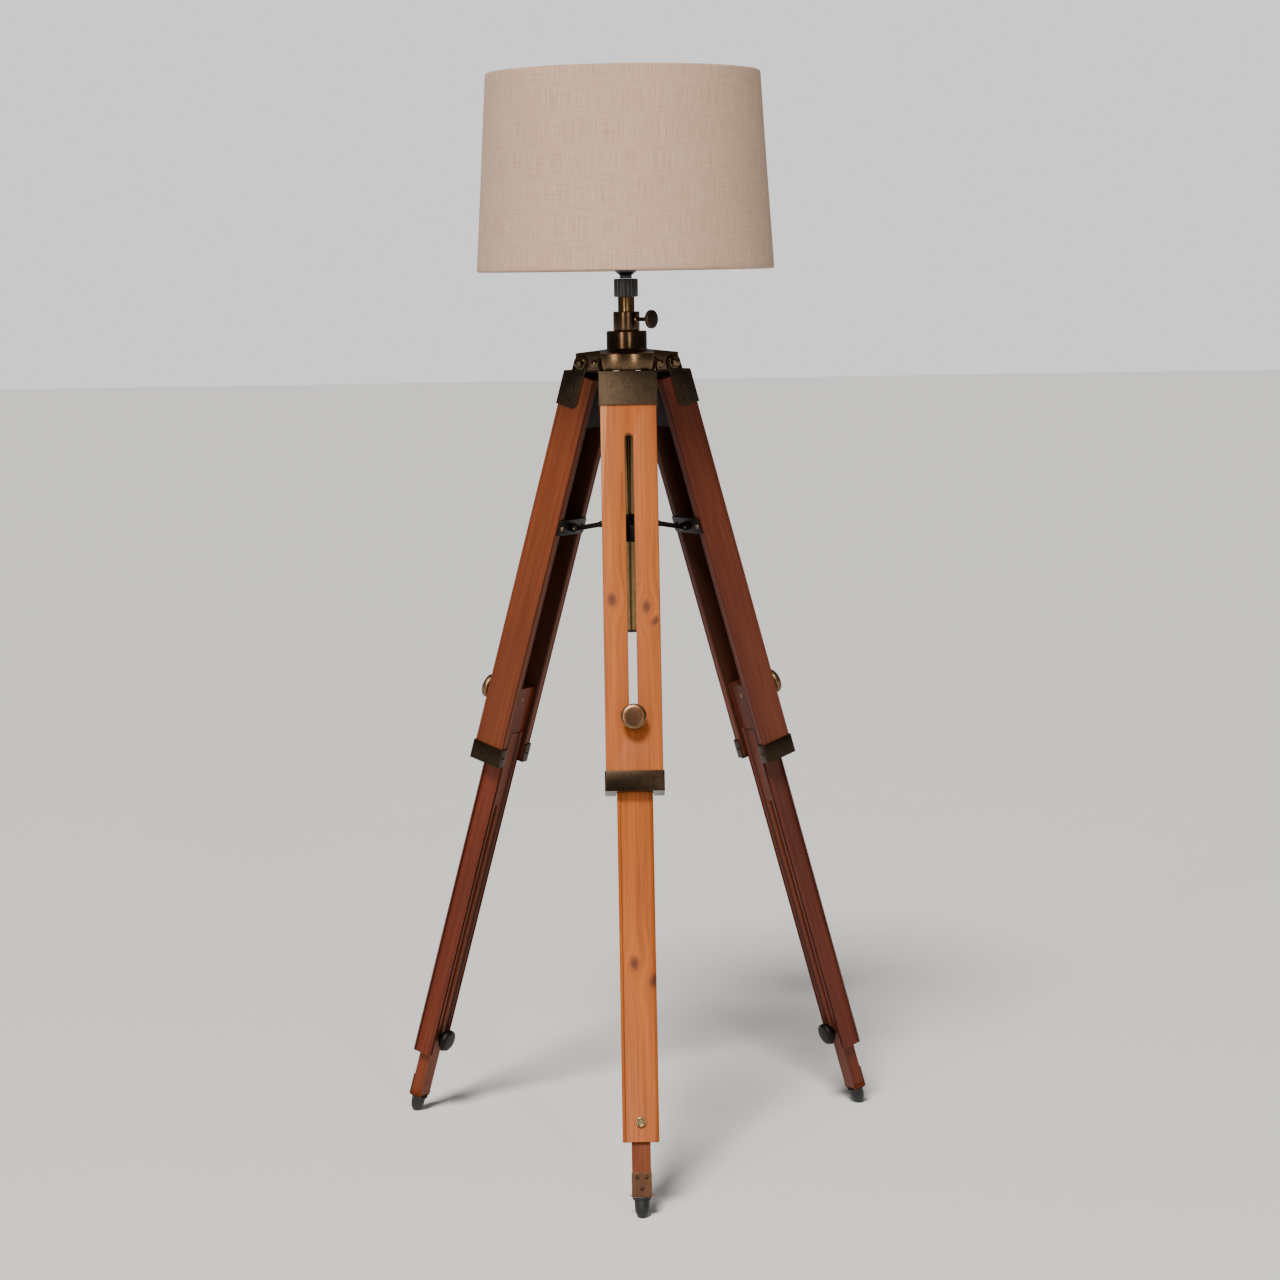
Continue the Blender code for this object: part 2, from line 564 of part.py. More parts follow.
def make_knobs(side, leg):
    upper = add_empty("upper_knob_axis_" + side, leg, (0, 0, -UPPER_STUD_AT), (math.radians(90), 0, 0))
    face = GAP - UPPER_OUTER
    shoulder = GAP - MIDDLE_OUTER
    disc = face + UPPER_KNOB_NECK
    turned("upper_knob_" + side, [
        (0, disc + 0.0125), (0.0168, disc + 0.0125), (0.0188, disc + 0.0105), (0.0188, disc + 0.0030),
        (0.0150, disc), (0.0085, disc), (0.0085, face), (0.0058, face), (0.0058, shoulder),
        (UPPER_STUD_RADIUS, shoulder), (UPPER_STUD_RADIUS, 0.0010 - MIDDLE_INNER),
        (0, 0.0010 - MIDDLE_INNER),
    ], "bronze", upper, steps=16)
    lower = add_empty("lower_bolt_axis_" + side, leg, (0, 0, -LOWER_BOLT_AT), (math.radians(90), 0, 0))
    head = GAP - MIDDLE_OUTER
    radius = LOWER_BOLT_RADIUS
    shank_end = -MIDDLE_INNER - 0.0060
    turned("lower_bolt_" + side, [
        (0, head + 0.0030), (0.0040, head + 0.0027), (0.0060, head + 0.0010), (0.0062, head),
        (radius, head), (radius, shank_end), (0, shank_end),
    ], "brass", lower, steps=14)
    face = -MIDDLE_INNER - GAP
    bore = radius + GAP
    turned("lower_knob_" + side, [
        (0, shank_end - GAP), (bore, shank_end - GAP), (bore, face), (0.0080, face),
        (0.0080, face - 0.0062), (0.0152, face - 0.0070), (0.0172, face - 0.0090),
        (0.0172, face - 0.0165), (0.0152, face - 0.0185), (0, face - 0.0185),
    ], "bronze", lower, steps=16)


def make_leg(side, angle, base):
    turn = add_empty("leg_direction_" + side, base, rotation=(0, 0, angle))
    leg = add_empty("leg_hinge_" + side, turn, (0, -HINGE_RADIUS, 0), (-LEG_TILT, 0, 0))
    make_upper(side, leg)
    make_cap(side, leg)
    make_hinge_pin(side, base, angle)
    make_band(side, leg)
    make_middle(side, leg)
    make_lower(side, leg)
    make_knobs(side, leg)
    make_bracket(side, leg)
    make_strut(side, leg)


def shade_smoothly():
    for obj in PARTS.objects:
        if obj.type == "MESH" and any(modifier.type == "SCREW" for modifier in obj.modifiers):
            obj.data.shade_smooth()
            for modifier in obj.modifiers:
                if modifier.type == "SCREW":
                    modifier.use_smooth_shade = True


FINISHES = {
    "bronze": ((0.16, 0.11, 0.07), 0.38, 0.9),
    "brass": ((0.45, 0.33, 0.16), 0.32, 1.0),
    "steel": ((0.55, 0.54, 0.52), 0.3, 1.0),
    "black": ((0.02, 0.02, 0.02), 0.45, 0.0),
    "wood": ((0.32, 0.13, 0.06), 0.5, 0.0),
    "linen": ((0.55, 0.45, 0.36), 0.9, 0.0),
    "glass": ((0.9, 0.88, 0.84), 0.2, 0.0),
    "helper": ((0.5, 0.5, 0.5), 0.5, 0.0),
}

clear_scene()
PARTS = new_collection(NAME)
HELPERS = new_collection("cutters_and_joined_shapes")
lamp = add_empty(NAME + "_base", None, (0, AXIS_Y, HINGE_HEIGHT))
make_head(lamp)
make_collar(lamp)
make_pole(lamp)
make_holder(lamp)
make_shade(lamp)
make_hub(lamp)
for leg_side, leg_angle in LEG_ANGLES.items():
    make_leg(leg_side, leg_angle, lamp)
shade_smoothly()
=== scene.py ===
import json
import math

import bmesh
import bpy
from mathutils import Matrix, Vector


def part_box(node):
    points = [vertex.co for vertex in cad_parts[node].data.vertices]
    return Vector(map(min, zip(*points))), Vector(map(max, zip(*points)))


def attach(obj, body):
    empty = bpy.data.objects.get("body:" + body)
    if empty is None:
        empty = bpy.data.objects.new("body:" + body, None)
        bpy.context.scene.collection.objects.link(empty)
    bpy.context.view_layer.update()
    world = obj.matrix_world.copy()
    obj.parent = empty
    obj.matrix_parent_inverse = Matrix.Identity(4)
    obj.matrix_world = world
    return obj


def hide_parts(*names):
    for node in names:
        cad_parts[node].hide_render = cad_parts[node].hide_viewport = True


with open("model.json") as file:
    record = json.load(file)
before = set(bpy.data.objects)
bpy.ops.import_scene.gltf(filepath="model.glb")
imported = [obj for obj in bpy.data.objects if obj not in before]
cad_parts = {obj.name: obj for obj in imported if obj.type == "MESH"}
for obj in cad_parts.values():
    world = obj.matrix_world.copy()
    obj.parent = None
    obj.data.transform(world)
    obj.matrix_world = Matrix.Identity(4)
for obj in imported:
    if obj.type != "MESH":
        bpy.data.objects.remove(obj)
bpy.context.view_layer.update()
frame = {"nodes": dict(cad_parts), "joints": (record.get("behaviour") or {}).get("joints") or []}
joints = {joint["name"]: joint for joint in frame["joints"]}
nodes = frame["nodes"]
sides = ("front", "left", "right")
print("frame loaded with", len(nodes), "nodes")


# Measuring

def legMatrix(side):
    hinge = joints["leg_fold_" + side]
    across = Vector(hinge["axis"]).normalized()
    up = Vector(joints["middle_slide_" + side]["axis"]).normalized()
    turn = Matrix((across, up.cross(across), up)).transposed().to_4x4()
    return Matrix.Translation(hinge["pos_m"]) @ turn  # X along the pin, -Y outside, -Z down the leg


def extent(node, matrix):
    back = matrix.inverted()
    points = [back @ vertex.co for vertex in nodes[node].data.vertices]
    low = Vector([min(point[i] for point in points) for i in range(3)])
    high = Vector([max(point[i] for point in points) for i in range(3)])
    return low, high


poleLow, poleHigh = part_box("pole")
axisX = (poleLow.x + poleHigh.x) / 2
axisY = (poleLow.y + poleHigh.y) / 2
hingeHeight = joints["leg_fold_front"]["pos_m"][2]
centre = Matrix.Translation((axisX, axisY,
                             hingeHeight))  # heights of the centre pieces count from the hinges
legs = {side: legMatrix(side) for side in sides}
pinAxes = {side: joints["leg_fold_" + side]["axis"] for side in sides}
turns = {side: centre @ Matrix.Rotation(math.atan2(pinAxes[side][1], pinAxes[side][0]), 4,
                                        "Z") for side in sides}


# Camera

cameraPlace = {
    "distance": 4.8403,  # from the pole's axis
    "aside": -0.0327,
    "height": 1.3264,
    "turn": -0.00947,
    "tilt": -0.11142,
    "lean": -0.01533,
    "lens": 89.38,
}


def makeCamera(place):
    data = bpy.data.cameras.new("camera")
    data.lens = place["lens"]
    data.sensor_width = 36.0
    data.clip_end = 100.0
    camera = bpy.data.objects.new("camera", data)
    bpy.context.scene.collection.objects.link(camera)
    spot = Matrix.Translation((axisX + place["aside"], axisY - place["distance"], place["height"]))
    aim = Matrix.Rotation(place["turn"], 4, "Z") @ Matrix.Rotation(math.pi / 2 + place["tilt"], 4, "X")
    camera.matrix_world = spot @ aim @ Matrix.Rotation(place["lean"], 4, "Z")
    bpy.context.scene.camera = camera


makeCamera(cameraPlace)
print("camera placed")


# Mesh tools

def meshFrom(bm, angle=35):
    bmesh.ops.recalc_face_normals(bm, faces=bm.faces)
    mesh = bpy.data.meshes.new("mesh")
    bm.to_mesh(mesh)
    bm.free()
    mesh.shade_smooth()
    mesh.set_sharp_from_angle(angle=math.radians(angle))
    return mesh


def joined(*parts, angle=35):
    bm = bmesh.new()
    for part in parts:
        mesh, place = part if isinstance(part, tuple) else (part, Matrix.Identity(4))
        moved = mesh.copy()
        moved.transform(place)
        bm.from_mesh(moved)
    return meshFrom(bm, angle)


def softened(points, radius, steps=4, closed=False):
    count = len(points)
    result = []
    for i, point in enumerate(points):
        here = Vector(point[:2])
        reach = point[2] if len(point) > 2 else radius
        atEnd = not closed and i in (0, count - 1)
        if atEnd or reach <= 0:
            result.append(tuple(here))
            continue
        before = Vector(points[i - 1][:2])
        after = Vector(points[(i + 1) % count][:2])
        reach = min(reach, (before - here).length * 0.48, (after - here).length * 0.48)
        start = here + (before - here).normalized() * reach
        end = here + (after - here).normalized() * reach
        for k in range(steps + 1):
            t = k / steps
            result.append(tuple(start * (1 - t) ** 2 + here * 2 * t * (1 - t) + end * t ** 2))
    return result


def ringOf(bm, radii, height):
    count = len(radii)
    return [bm.verts.new((r * math.cos(math.tau * i / count), r * math.sin(math.tau * i / count), height))
            for i, r in enumerate(radii)]


def bridge(bm, loops):
    for first, second in zip(loops, loops[1:]):
        for i in range(len(first)):
            j = (i + 1) % len(first)
            bm.faces.new((first[i], first[j], second[j], second[i]))


def knurledDisc(rows, knurls, cut, top, bottom):
    bm = bmesh.new()
    count = knurls * 4
    loops = [ringOf(bm, [r - cut * share * (i % 4 == 0) for i in range(count)], z) for r, z, share in rows]
    bridge(bm, loops)
    crown = bm.verts.new((0, 0, top))
    under = bm.verts.new((0, 0, bottom))
    for i in range(count):
        j = (i + 1) % count
        bm.faces.new((crown, loops[0][j], loops[0][i]))
        bm.faces.new((under, loops[-1][i], loops[-1][j]))
    return meshFrom(bm, 40)


def lathe(profile, steps=72, closed=False):
    bm = bmesh.new()
    rings = []
    for radius, height in profile:
        if radius < 1e-6:
            rings.append([bm.verts.new((0, 0, height))])
            continue
        rings.append(ringOf(bm, [radius] * steps, height))
    pairs = list(zip(rings, rings[1:]))
    if closed:
        pairs.append((rings[-1], rings[0]))
    for upper, lower in pairs:
        for i in range(steps):
            j = (i + 1) % steps
            corners = [upper[i % len(upper)], upper[j % len(upper)], lower[j % len(lower)],
                       lower[i % len(lower)]]
            corners = list(dict.fromkeys(corners))
            if len(corners) > 2:
                bm.faces.new(corners)
    return meshFrom(bm)


def inset(points, amount):
    moved = []
    count = len(points)
    area = sum(points[i - 1][0] * points[i][1] - points[i][0] * points[i - 1][1] for i in range(count))
    sign = 1 if area > 0 else -1
    for i in range(count):
        here = Vector(points[i])
        ahead = (Vector(points[(i + 1) % count]) - here).normalized()
        behind = (here - Vector(points[i - 1])).normalized()
        normal = Vector((-ahead.y - behind.y, ahead.x + behind.x)).normalized() * sign
        half = max(0.35, normal.dot(Vector((-ahead.y, ahead.x)) * sign))
        moved.append(tuple(here + normal * amount / half))
    return moved


def plate(outlines, thickness, edge, place=Matrix.Identity(4), rings=2):
    curve = bpy.data.curves.new("outline", "CURVE")
    curve.dimensions = "2D"
    curve.fill_mode = "BOTH"
    curve.extrude = thickness / 2 - edge
    curve.bevel_depth = edge
    curve.bevel_resolution = rings
    for number, points in enumerate(outlines):
        points = inset(points, edge if number == 0 else -edge)
        spline = curve.splines.new("POLY")
        spline.points.add(len(points) - 1)
        for point, (x, y) in zip(spline.points, points):
            point.co = (x, y, 0.0, 1.0)
        spline.use_cyclic_u = True
    guide = bpy.data.objects.new("outline", curve)
    bpy.context.scene.collection.objects.link(guide)
    bpy.context.view_layer.update()
    shape = bpy.data.meshes.new_from_object(guide.evaluated_get(bpy.context.evaluated_depsgraph_get()))
    bpy.data.objects.remove(guide, do_unlink=True)
    bm = bmesh.new()
    bm.from_mesh(shape)
    bmesh.ops.remove_doubles(bm, verts=bm.verts, dist=0.00001)
    bmesh.ops.transform(bm, matrix=place, verts=bm.verts)
    return meshFrom(bm, 30)


def roundRect(low, high, radius, steps=4):
    corners = [(low[0], low[1]), (high[0], low[1]), (high[0], high[1]), (low[0], high[1])]
    return softened(corners, radius, steps, closed=True)


def arc(middle, radius, start, end, count):
    angles = [math.radians(start + (end - start) * i / (count - 1)) for i in range(count)]
    return [(middle[0] + radius * math.cos(a), middle[1] + radius * math.sin(a)) for a in angles]


def stadium(middle, half, radius, count=13):
    return arc((middle[0], middle[1] + half), radius, 0, 180, count) + arc(
        (middle[0], middle[1] - half), radius, 180, 360, count)


def circle(middle, radius, count=32):
    return arc(middle, radius, 0, 360 - 360 / count, count)


def turned(degrees, axis):
    return Matrix.Rotation(math.radians(degrees), 4, axis)


def onFace(x, y, z):
    return Matrix.Translation((x, y, z)) @ Matrix(((1, 0, 0, 0), (0, 0, -1, 0), (0, 1, 0, 0), (0, 0, 0, 1)))


def onSide(x, y, z):
    return Matrix.Translation((x, y, z)) @ Matrix(((0, 0, 1, 0), (1, 0, 0, 0), (0, 1, 0, 0), (0, 0, 0, 1)))


def pinAlong(start, end, radius, steps=24, soft=0.3):
    start, end = Vector(start), Vector(end)
    length = (end - start).length
    edge = radius * soft
    profile = softened([(0, length), (radius, length), (radius, 0), (0, 0)], edge, 3)
    turn = (end - start).to_track_quat("Z", "Y").to_matrix().to_4x4()
    return lathe(profile, steps), Matrix.Translation(start) @ turn


def screwHead(radius, height, recess="cross"):
    arm, width = radius * 0.62, radius * 0.16
    if recess == "cross":
        hole = [(width, width), (arm, width), (arm, -width), (width, -width), (width, -arm), (-width, -arm),
                (-width, -width), (-arm, -width), (-arm, width), (-width, width), (-width, arm), (width,
                                                                                                  arm)]
    else:
        hole = [(arm * 1.35, width), (-arm * 1.35, width), (-arm * 1.35, -width), (arm * 1.35, -width)]
    top = plate([circle((0, 0), radius), hole], height, height * 0.42,
                Matrix.Translation((0, 0, height / 2)), rings=3)
    base = lathe(softened([(0, height * 0.4), (radius * 0.8, height * 0.4), (radius * 0.8, 0), (0, 0)],
                          0), 24)
    return joined(top, base)


def addPiece(name, mesh, body, finish, stands=(), matrix=None):
    mesh.name = name
    piece = bpy.data.objects.new(name, mesh)
    bpy.context.scene.collection.objects.link(piece)
    if matrix is not None:
        piece.matrix_world = matrix
    mesh.materials.clear()
    mesh.materials.append(finish)
    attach(piece, body)
    if stands:
        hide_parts(*stands)
    return piece


# Finishes

def newFinish(name):
    finish = bpy.data.materials.new(name)
    finish.use_nodes = True
    tree = finish.node_tree
    tree.nodes.clear()

    def add(kind, sockets=None, **settings):
        node = tree.nodes.new(kind)
        for key, value in settings.items():
            setattr(node, key, value)
        for key, value in (sockets or {}).items():
            if isinstance(value, bpy.types.NodeSocket):
                tree.links.new(value, node.inputs[key])
            else:
                node.inputs[key].default_value = value
        return node

    return finish, add


def calc(add, operation, first, second=0.0, clamp=False):
    return add("ShaderNodeMath", {0: first, 1: second}, operation=operation, use_clamp=clamp).outputs[0]


def times(add, first, second):
    return calc(add, "MULTIPLY", first, second)


def plus(add, first, second):
    return calc(add, "ADD", first, second)


def minus(add, first, second):
    return calc(add, "SUBTRACT", first, second)


def mixed(add, factor, first, second, blend="MIX"):
    node = add("ShaderNodeMix", {0: factor, 6: first, 7: second}, data_type="RGBA", blend_type=blend)
    return node.outputs[2]


def ranged(add, value, low, high, toLow=0.0, toHigh=1.0, smooth=False):
    node = add("ShaderNodeMapRange", {"Value": value, "From Min": low, "From Max": high, "To Min": toLow,
                                      "To Max": toHigh}, clamp=True)
    if smooth:
        node.interpolation_type = "SMOOTHSTEP"
    return node.outputs[0]


def stretched(add, vector, size, offset=(0, 0, 0)):
    return add("ShaderNodeMapping", {"Vector": vector, "Scale": size, "Location": offset}).outputs[0]


def noise(add, vector, scale=1.0, detail=3.0, rough=0.55):
    node = add("ShaderNodeTexNoise",
               {"Vector": vector, "Scale": scale, "Detail": detail, "Roughness": rough})
    return node.outputs["Fac"]


def surface(add, colour, rough, height=None, bump=0.3, depth=0.001, **fixed):
    sockets = {"Base Color": colour, "Roughness": rough, **fixed}
    if height is not None:
        sockets["Normal"] = add("ShaderNodeBump",
                                {"Height": height, "Strength": bump, "Distance": depth}).outputs[0]
    shader = add("ShaderNodeBsdfPrincipled", sockets)
    add("ShaderNodeOutputMaterial", {"Surface": shader.outputs[0]})


def rgb(colour, share=1.0):
    return (colour[0] * share, colour[1] * share, colour[2] * share, 1.0)


woodLook = {
    "early": (0.385, 0.100, 0.0125),
    "late": (0.255, 0.052, 0.0068),
    "pale": (0.55, 0.23, 0.085),
    "knot": (0.070, 0.020, 0.010),
    "inside": (0.030, 0.011, 0.006),  # painted shade darkening the channel insides, not a stain
    "ring": 0.0062,
    "wander": 0.020,
    "rough": 0.46,
}


def woodFinish(name, offset, toneAndShadeTint=(1.0, 1.0, 1.0), knots=(), stains=(), sapwood=None, paintedShadeZone=None,
               look=woodLook):
    finish, add = newFinish(name)
    here = add("ShaderNodeTexCoord").outputs["Object"]
    parts = add("ShaderNodeSeparateXYZ", {0: here})
    x, y, z = parts.outputs[0], parts.outputs[1], parts.outputs[2]
    shade = None
    eye = None
    for knotX, knotS, size in knots:
        dx = calc(add, "DIVIDE", minus(add, x, knotX), size)
        dz = calc(add, "DIVIDE", plus(add, z, knotS), size * 1.5)
        far = calc(add, "SQRT", plus(add, times(add, dx, dx), times(add, dz, dz)))
        pull = calc(add, "EXPONENT", times(add, times(add, far, far), -0.05))
        x = minus(add, x, times(add, times(add, dx, pull), size * 0.95))
        blot = noise(add, stretched(add, here, (260, 260, 160)), detail=2)
        near = ranged(add, plus(add, far, times(add, blot, 0.9)), 0.8, 2.6, 1.0, 0.0, True)
        eye = near if eye is None else calc(add, "MAXIMUM", eye, near)
    for stainX, stainS, halfWidth, halfLength, depth in stains:
        dx = calc(add, "DIVIDE", minus(add, x, stainX), halfWidth)
        dz = calc(add, "DIVIDE", plus(add, z, stainS), halfLength)
        far = calc(add, "SQRT", plus(add, times(add, dx, dx), times(add, dz, dz)))
        near = ranged(add, far, 0.2, 1.2, depth, 0.0, True)
        shade = near if shade is None else calc(add, "MAXIMUM", shade, near)
    bent = add("ShaderNodeCombineXYZ", {0: x, 1: y, 2: z}).outputs[0]
    drift = noise(add, stretched(add, bent, (16, 16, 1.7), offset), detail=2)
    across = plus(add, times(add, drift, look["wander"] * 2.6),
                  plus(add, x, times(add, y, 0.55)))
    line = calc(add, "FRACT", calc(add, "DIVIDE", plus(add, across, offset[0] * 0.01 + 1), look["ring"]))
    band = times(add, ranged(add, line, 0.15, 0.86, 0, 1, True), ranged(add, line, 0.9, 1.0, 1, 0))
    patch = noise(add, stretched(add, bent, (24, 24, 2.4), offset), detail=3)
    band = times(add, band, ranged(add, patch, 0.35, 0.7, 0.08, 0.7))
    fibre = noise(add, stretched(add, bent, (620, 620, 11), offset), detail=3, rough=0.6)
    streak = noise(add, stretched(add, bent, (150, 150, 3.2), offset), detail=3)
    pore = noise(add, stretched(add, bent, (1500, 1500, 90), offset), detail=1)
    early = tuple(a * b for a, b in zip(look["early"], toneAndShadeTint))
    late = tuple(a * b for a, b in zip(look["late"], toneAndShadeTint))
    colour = mixed(add, band, rgb(early), rgb(late))
    if sapwood:
        limit = ranged(add, z, -sapwood["end"], -sapwood["start"], 0.0, sapwood["width"])
        wave = times(add, minus(add, streak, 0.5), 0.006)
        inside = minus(add, plus(add, limit, wave), minus(add, x, sapwood["edge"]))
        colour = mixed(add, ranged(add, inside, -0.0008, 0.0012, 0, 0.85, True), colour, rgb(look["pale"]))
    colour = mixed(add, ranged(add, streak, 0.42, 0.72, 0.0, 0.6), colour, rgb(late, 0.8))
    colour = mixed(add, ranged(add, fibre, 0.35, 0.7, 0.0, 0.42), colour, rgb(late, 0.8))
    colour = mixed(add, ranged(add, pore, 0.62, 0.72, 0.0, 0.35), colour, rgb(late, 0.45))
    colour = mixed(add, ranged(add, patch, 0.52, 0.70, 0.0, 0.5), colour, rgb(early, 1.3))
    colour = mixed(add, ranged(add, patch, 0.46, 0.34, 0.0, 0.45), colour, rgb(late, 0.8))
    if shade is not None:
        colour = mixed(add, shade, colour, rgb(late, 0.42))
    if eye is not None:
        colour = mixed(add, times(add, eye, 0.88), colour, rgb(look["knot"]))
    # Inside the channel zone the wood turns near-black: painted shade in the recesses, not a stain
    if paintedShadeZone:
        within = ranged(add, calc(add, "ABSOLUTE", parts.outputs[0]), paintedShadeZone[0] + 0.0004,
                        paintedShadeZone[0] - 0.0004)
        behind = ranged(add, parts.outputs[1], paintedShadeZone[1] - 0.0004, paintedShadeZone[1] + 0.0004)
        below = ranged(add, z, -paintedShadeZone[2] - 0.0004, -paintedShadeZone[2] + 0.0004, 1.0, 0.0)
        paintedShadeMask = times(add, times(add, within, behind), below)
        colour = mixed(add, paintedShadeMask, colour, rgb(look["inside"]))
    rough = ranged(add, fibre, 0.3, 0.7, look["rough"] - 0.06, look["rough"] + 0.1)
    height = plus(add, times(add, fibre, 0.7), times(add, pore, 0.3))
    surface(add, colour, rough, height, 0.22, 0.0006,
            **{"Coat Weight": 0.03, "Coat Roughness": 0.35, "Specular IOR Level": 0.2})
    return finish


bronzeLook = {
    "base": (0.100, 0.060, 0.034),
    "dark": (0.060, 0.036, 0.021),
    "rubbedAndHighlight": (0.36, 0.23, 0.12),
    "rough": 0.23,
    "cloud": 20,
    "brush": (5, 5, 1500),  # turning marks
}


def metalFinish(name, look, metallic=1.0, wearAndHighlight=1.0):
    finish, add = newFinish(name)
    here = add("ShaderNodeTexCoord").outputs["Object"]
    cloud = noise(add, here, look.get("cloud", 42), 4, 0.6)
    fine = noise(add, here, 260, 3, 0.6)
    brushed = noise(add, stretched(add, here, look["brush"]), 1.0, 2)
    edge = add("ShaderNodeNewGeometry").outputs["Pointiness"]
    colour = mixed(add, ranged(add, cloud, 0.32, 0.68), rgb(look["dark"]), rgb(look["base"]))
    colour = mixed(add, ranged(add, brushed, 0.4, 0.75, 0.0, 0.16), colour, rgb(look["base"], 1.3))
    # Convex edges found by pointiness take the rubbed colour: partly real edge wear, partly painted highlight
    # along the bevels
    edgeWearAndHighlight = times(add, ranged(add, edge, 0.515, 0.56), ranged(add, fine, 0.3, 0.6, 0.35, 1.0))
    colour = mixed(add, times(add, edgeWearAndHighlight, wearAndHighlight), colour, rgb(look["rubbedAndHighlight"]))
    rough = plus(add, ranged(add, cloud, 0.3, 0.7, look["rough"] + 0.03, look["rough"] - 0.03),
                 ranged(add, brushed, 0.3, 0.7, -0.015, 0.025))
    height = plus(add, times(add, fine, 0.06), times(add, brushed, 0.94))
    surface(add, colour, rough, height, 0.012, 0.0001, Metallic=metallic)
    return finish


def plasticFinish(name, colour, rough, grain):
    finish, add = newFinish(name)
    here = add("ShaderNodeTexCoord").outputs["Object"]
    speck = noise(add, here, grain, 3, 0.6)
    cloud = noise(add, here, 30, 3)
    tone = mixed(add, ranged(add, cloud, 0.3, 0.7), rgb(colour, 0.8), rgb(colour, 1.35))
    dust = mixed(add, ranged(add, speck, 0.6, 0.8, 0.0, 0.25), tone, rgb(colour, 2.6))
    surface(add, dust, ranged(add, speck, 0.3, 0.7, rough - 0.05, rough + 0.08), speck, 0.15, 0.0004)
    return finish


linenLook = {
    "warp": (0.475, 0.315, 0.222),
    "weft": (0.56, 0.39, 0.285),
    "slub": (0.27, 0.155, 0.09),
    "pitch": 0.00085,
    "rough": 0.92,
}


def linenFinish(name, look, radius):
    finish, add = newFinish(name)
    here = add("ShaderNodeTexCoord").outputs["Object"]
    parts = add("ShaderNodeSeparateXYZ", {0: here})
    around = times(add, calc(add, "ARCTAN2", parts.outputs[1], parts.outputs[0]), radius)
    flat = add("ShaderNodeCombineXYZ", {0: around, 1: parts.outputs[2], 2: 0.0}).outputs[0]
    wobble = noise(add, flat, 160, 2)
    turn = math.tau / look["pitch"]

    def threads(along):
        loose = plus(add, along, times(add, wobble, look["pitch"] * 0.8))
        return times(add, plus(add, calc(add, "SINE", times(add, loose, turn)), 1.0), 0.5)

    upright = threads(around)
    level = threads(parts.outputs[2])
    weave = plus(add, times(add, upright, 0.5), times(add, level, 0.5))
    slubLevel = noise(add, stretched(add, flat, (26, 900, 1)), 1.0, 3, 0.6)
    slubUpright = noise(add, stretched(add, flat, (900, 22, 1), (3, 7, 0)), 1.0, 3, 0.6)
    cloud = noise(add, flat, 14, 3)
    fleck = noise(add, flat, 420, 2)
    colour = mixed(add, weave, rgb(look["warp"]), rgb(look["weft"]))
    colour = mixed(add, ranged(add, slubLevel, 0.52, 0.76, 0.0, 0.7), colour, rgb(look["slub"]))
    colour = mixed(add, ranged(add, slubUpright, 0.5, 0.76, 0.0, 0.75), colour, rgb(look["slub"], 1.1))
    colour = mixed(add, ranged(add, slubUpright, 0.45, 0.25, 0.0, 0.5), colour, rgb(look["weft"], 1.3))
    colour = mixed(add, ranged(add, fleck, 0.63, 0.74, 0.0, 0.8), colour, rgb(look["slub"], 0.7))
    colour = mixed(add, ranged(add, cloud, 0.35, 0.65, 0.0, 0.14), colour, rgb(look["warp"], 0.8))
    height = plus(add, times(add, weave, 0.5),
                  plus(add, times(add, slubLevel, 0.4), times(add, slubUpright, 0.4)))
    surface(add, colour, ranged(add, weave, 0, 1, look["rough"] - 0.04, look["rough"] + 0.04), height,
            0.45, 0.0008,
            **{"Sheen Weight": 0.08, "Sheen Roughness": 0.5, "Specular IOR Level": 0.25})
    return finish


def glassFinish(name):
    finish, add = newFinish(name)
    here = add("ShaderNodeTexCoord").outputs["Object"]
    frost = noise(add, here, 900, 2)
    cloud = noise(add, here, 20, 2)
    colour = mixed(add, cloud, (0.86, 0.85, 0.82, 1), (0.93, 0.92, 0.89, 1))
    surface(add, colour, ranged(add, frost, 0.3, 0.7, 0.2, 0.32), frost, 0.05, 0.0002,
            **{"Transmission Weight": 0.35, "IOR": 1.45})
    return finish


bronze = metalFinish("antique_bronze", bronzeLook)
capBronze = metalFinish("brushed_cap_bronze", {**bronzeLook, "base": (0.046, 0.032, 0.022), "rough": 0.32,
                                               "dark": (0.034, 0.0235, 0.016), "brush": (700, 700,
                                                                                         30)}, wearAndHighlight=0.3)
# The band bronze is a darker copy of the cap bronze: painted shade set against the sun's gleam on the band
bandShadedBronze = metalFinish("band_painted_shade_bronze", {**bronzeLook, "base": (0.021, 0.014, 0.0095), "rough": 0.30,
                                         "dark": (0.017, 0.0115, 0.008), "brush": (30, 30, 700)}, wearAndHighlight=0.1)
# The cheek bronze is a darker copy of the cap bronze: painted shade for sides turned from the light
cheekShadedBronze = metalFinish("cheek_painted_shade_bronze", {**bronzeLook, "base": (0.022, 0.016, 0.012), "rough": 0.36,
                                           "dark": (0.013, 0.010, 0.009), "rubbedAndHighlight": (0.13, 0.085, 0.05),
                                           "brush": (700, 700, 30)}, wearAndHighlight=0.7)
knobBronze = metalFinish("knob_bronze", {**bronzeLook, "base": (0.105, 0.050, 0.026), "rough": 0.36,
                                         "dark": (0.030, 0.018, 0.012), "brush": (300, 300, 300)})
darkBronze = metalFinish("dark_bronze",
                         {**bronzeLook, "base": (0.040, 0.025, 0.017), "dark": (0.018, 0.012, 0.010),
                                         "rubbedAndHighlight": (0.14, 0.085, 0.05), "rough": 0.40})
brass = metalFinish("aged_brass", {"base": (0.155, 0.098, 0.045), "dark": (0.090, 0.056, 0.028),
                                   "rubbedAndHighlight": (0.40, 0.27, 0.12), "rough": 0.24, "brush": (600, 600,
                                                                                          10)}, wearAndHighlight=0.5)
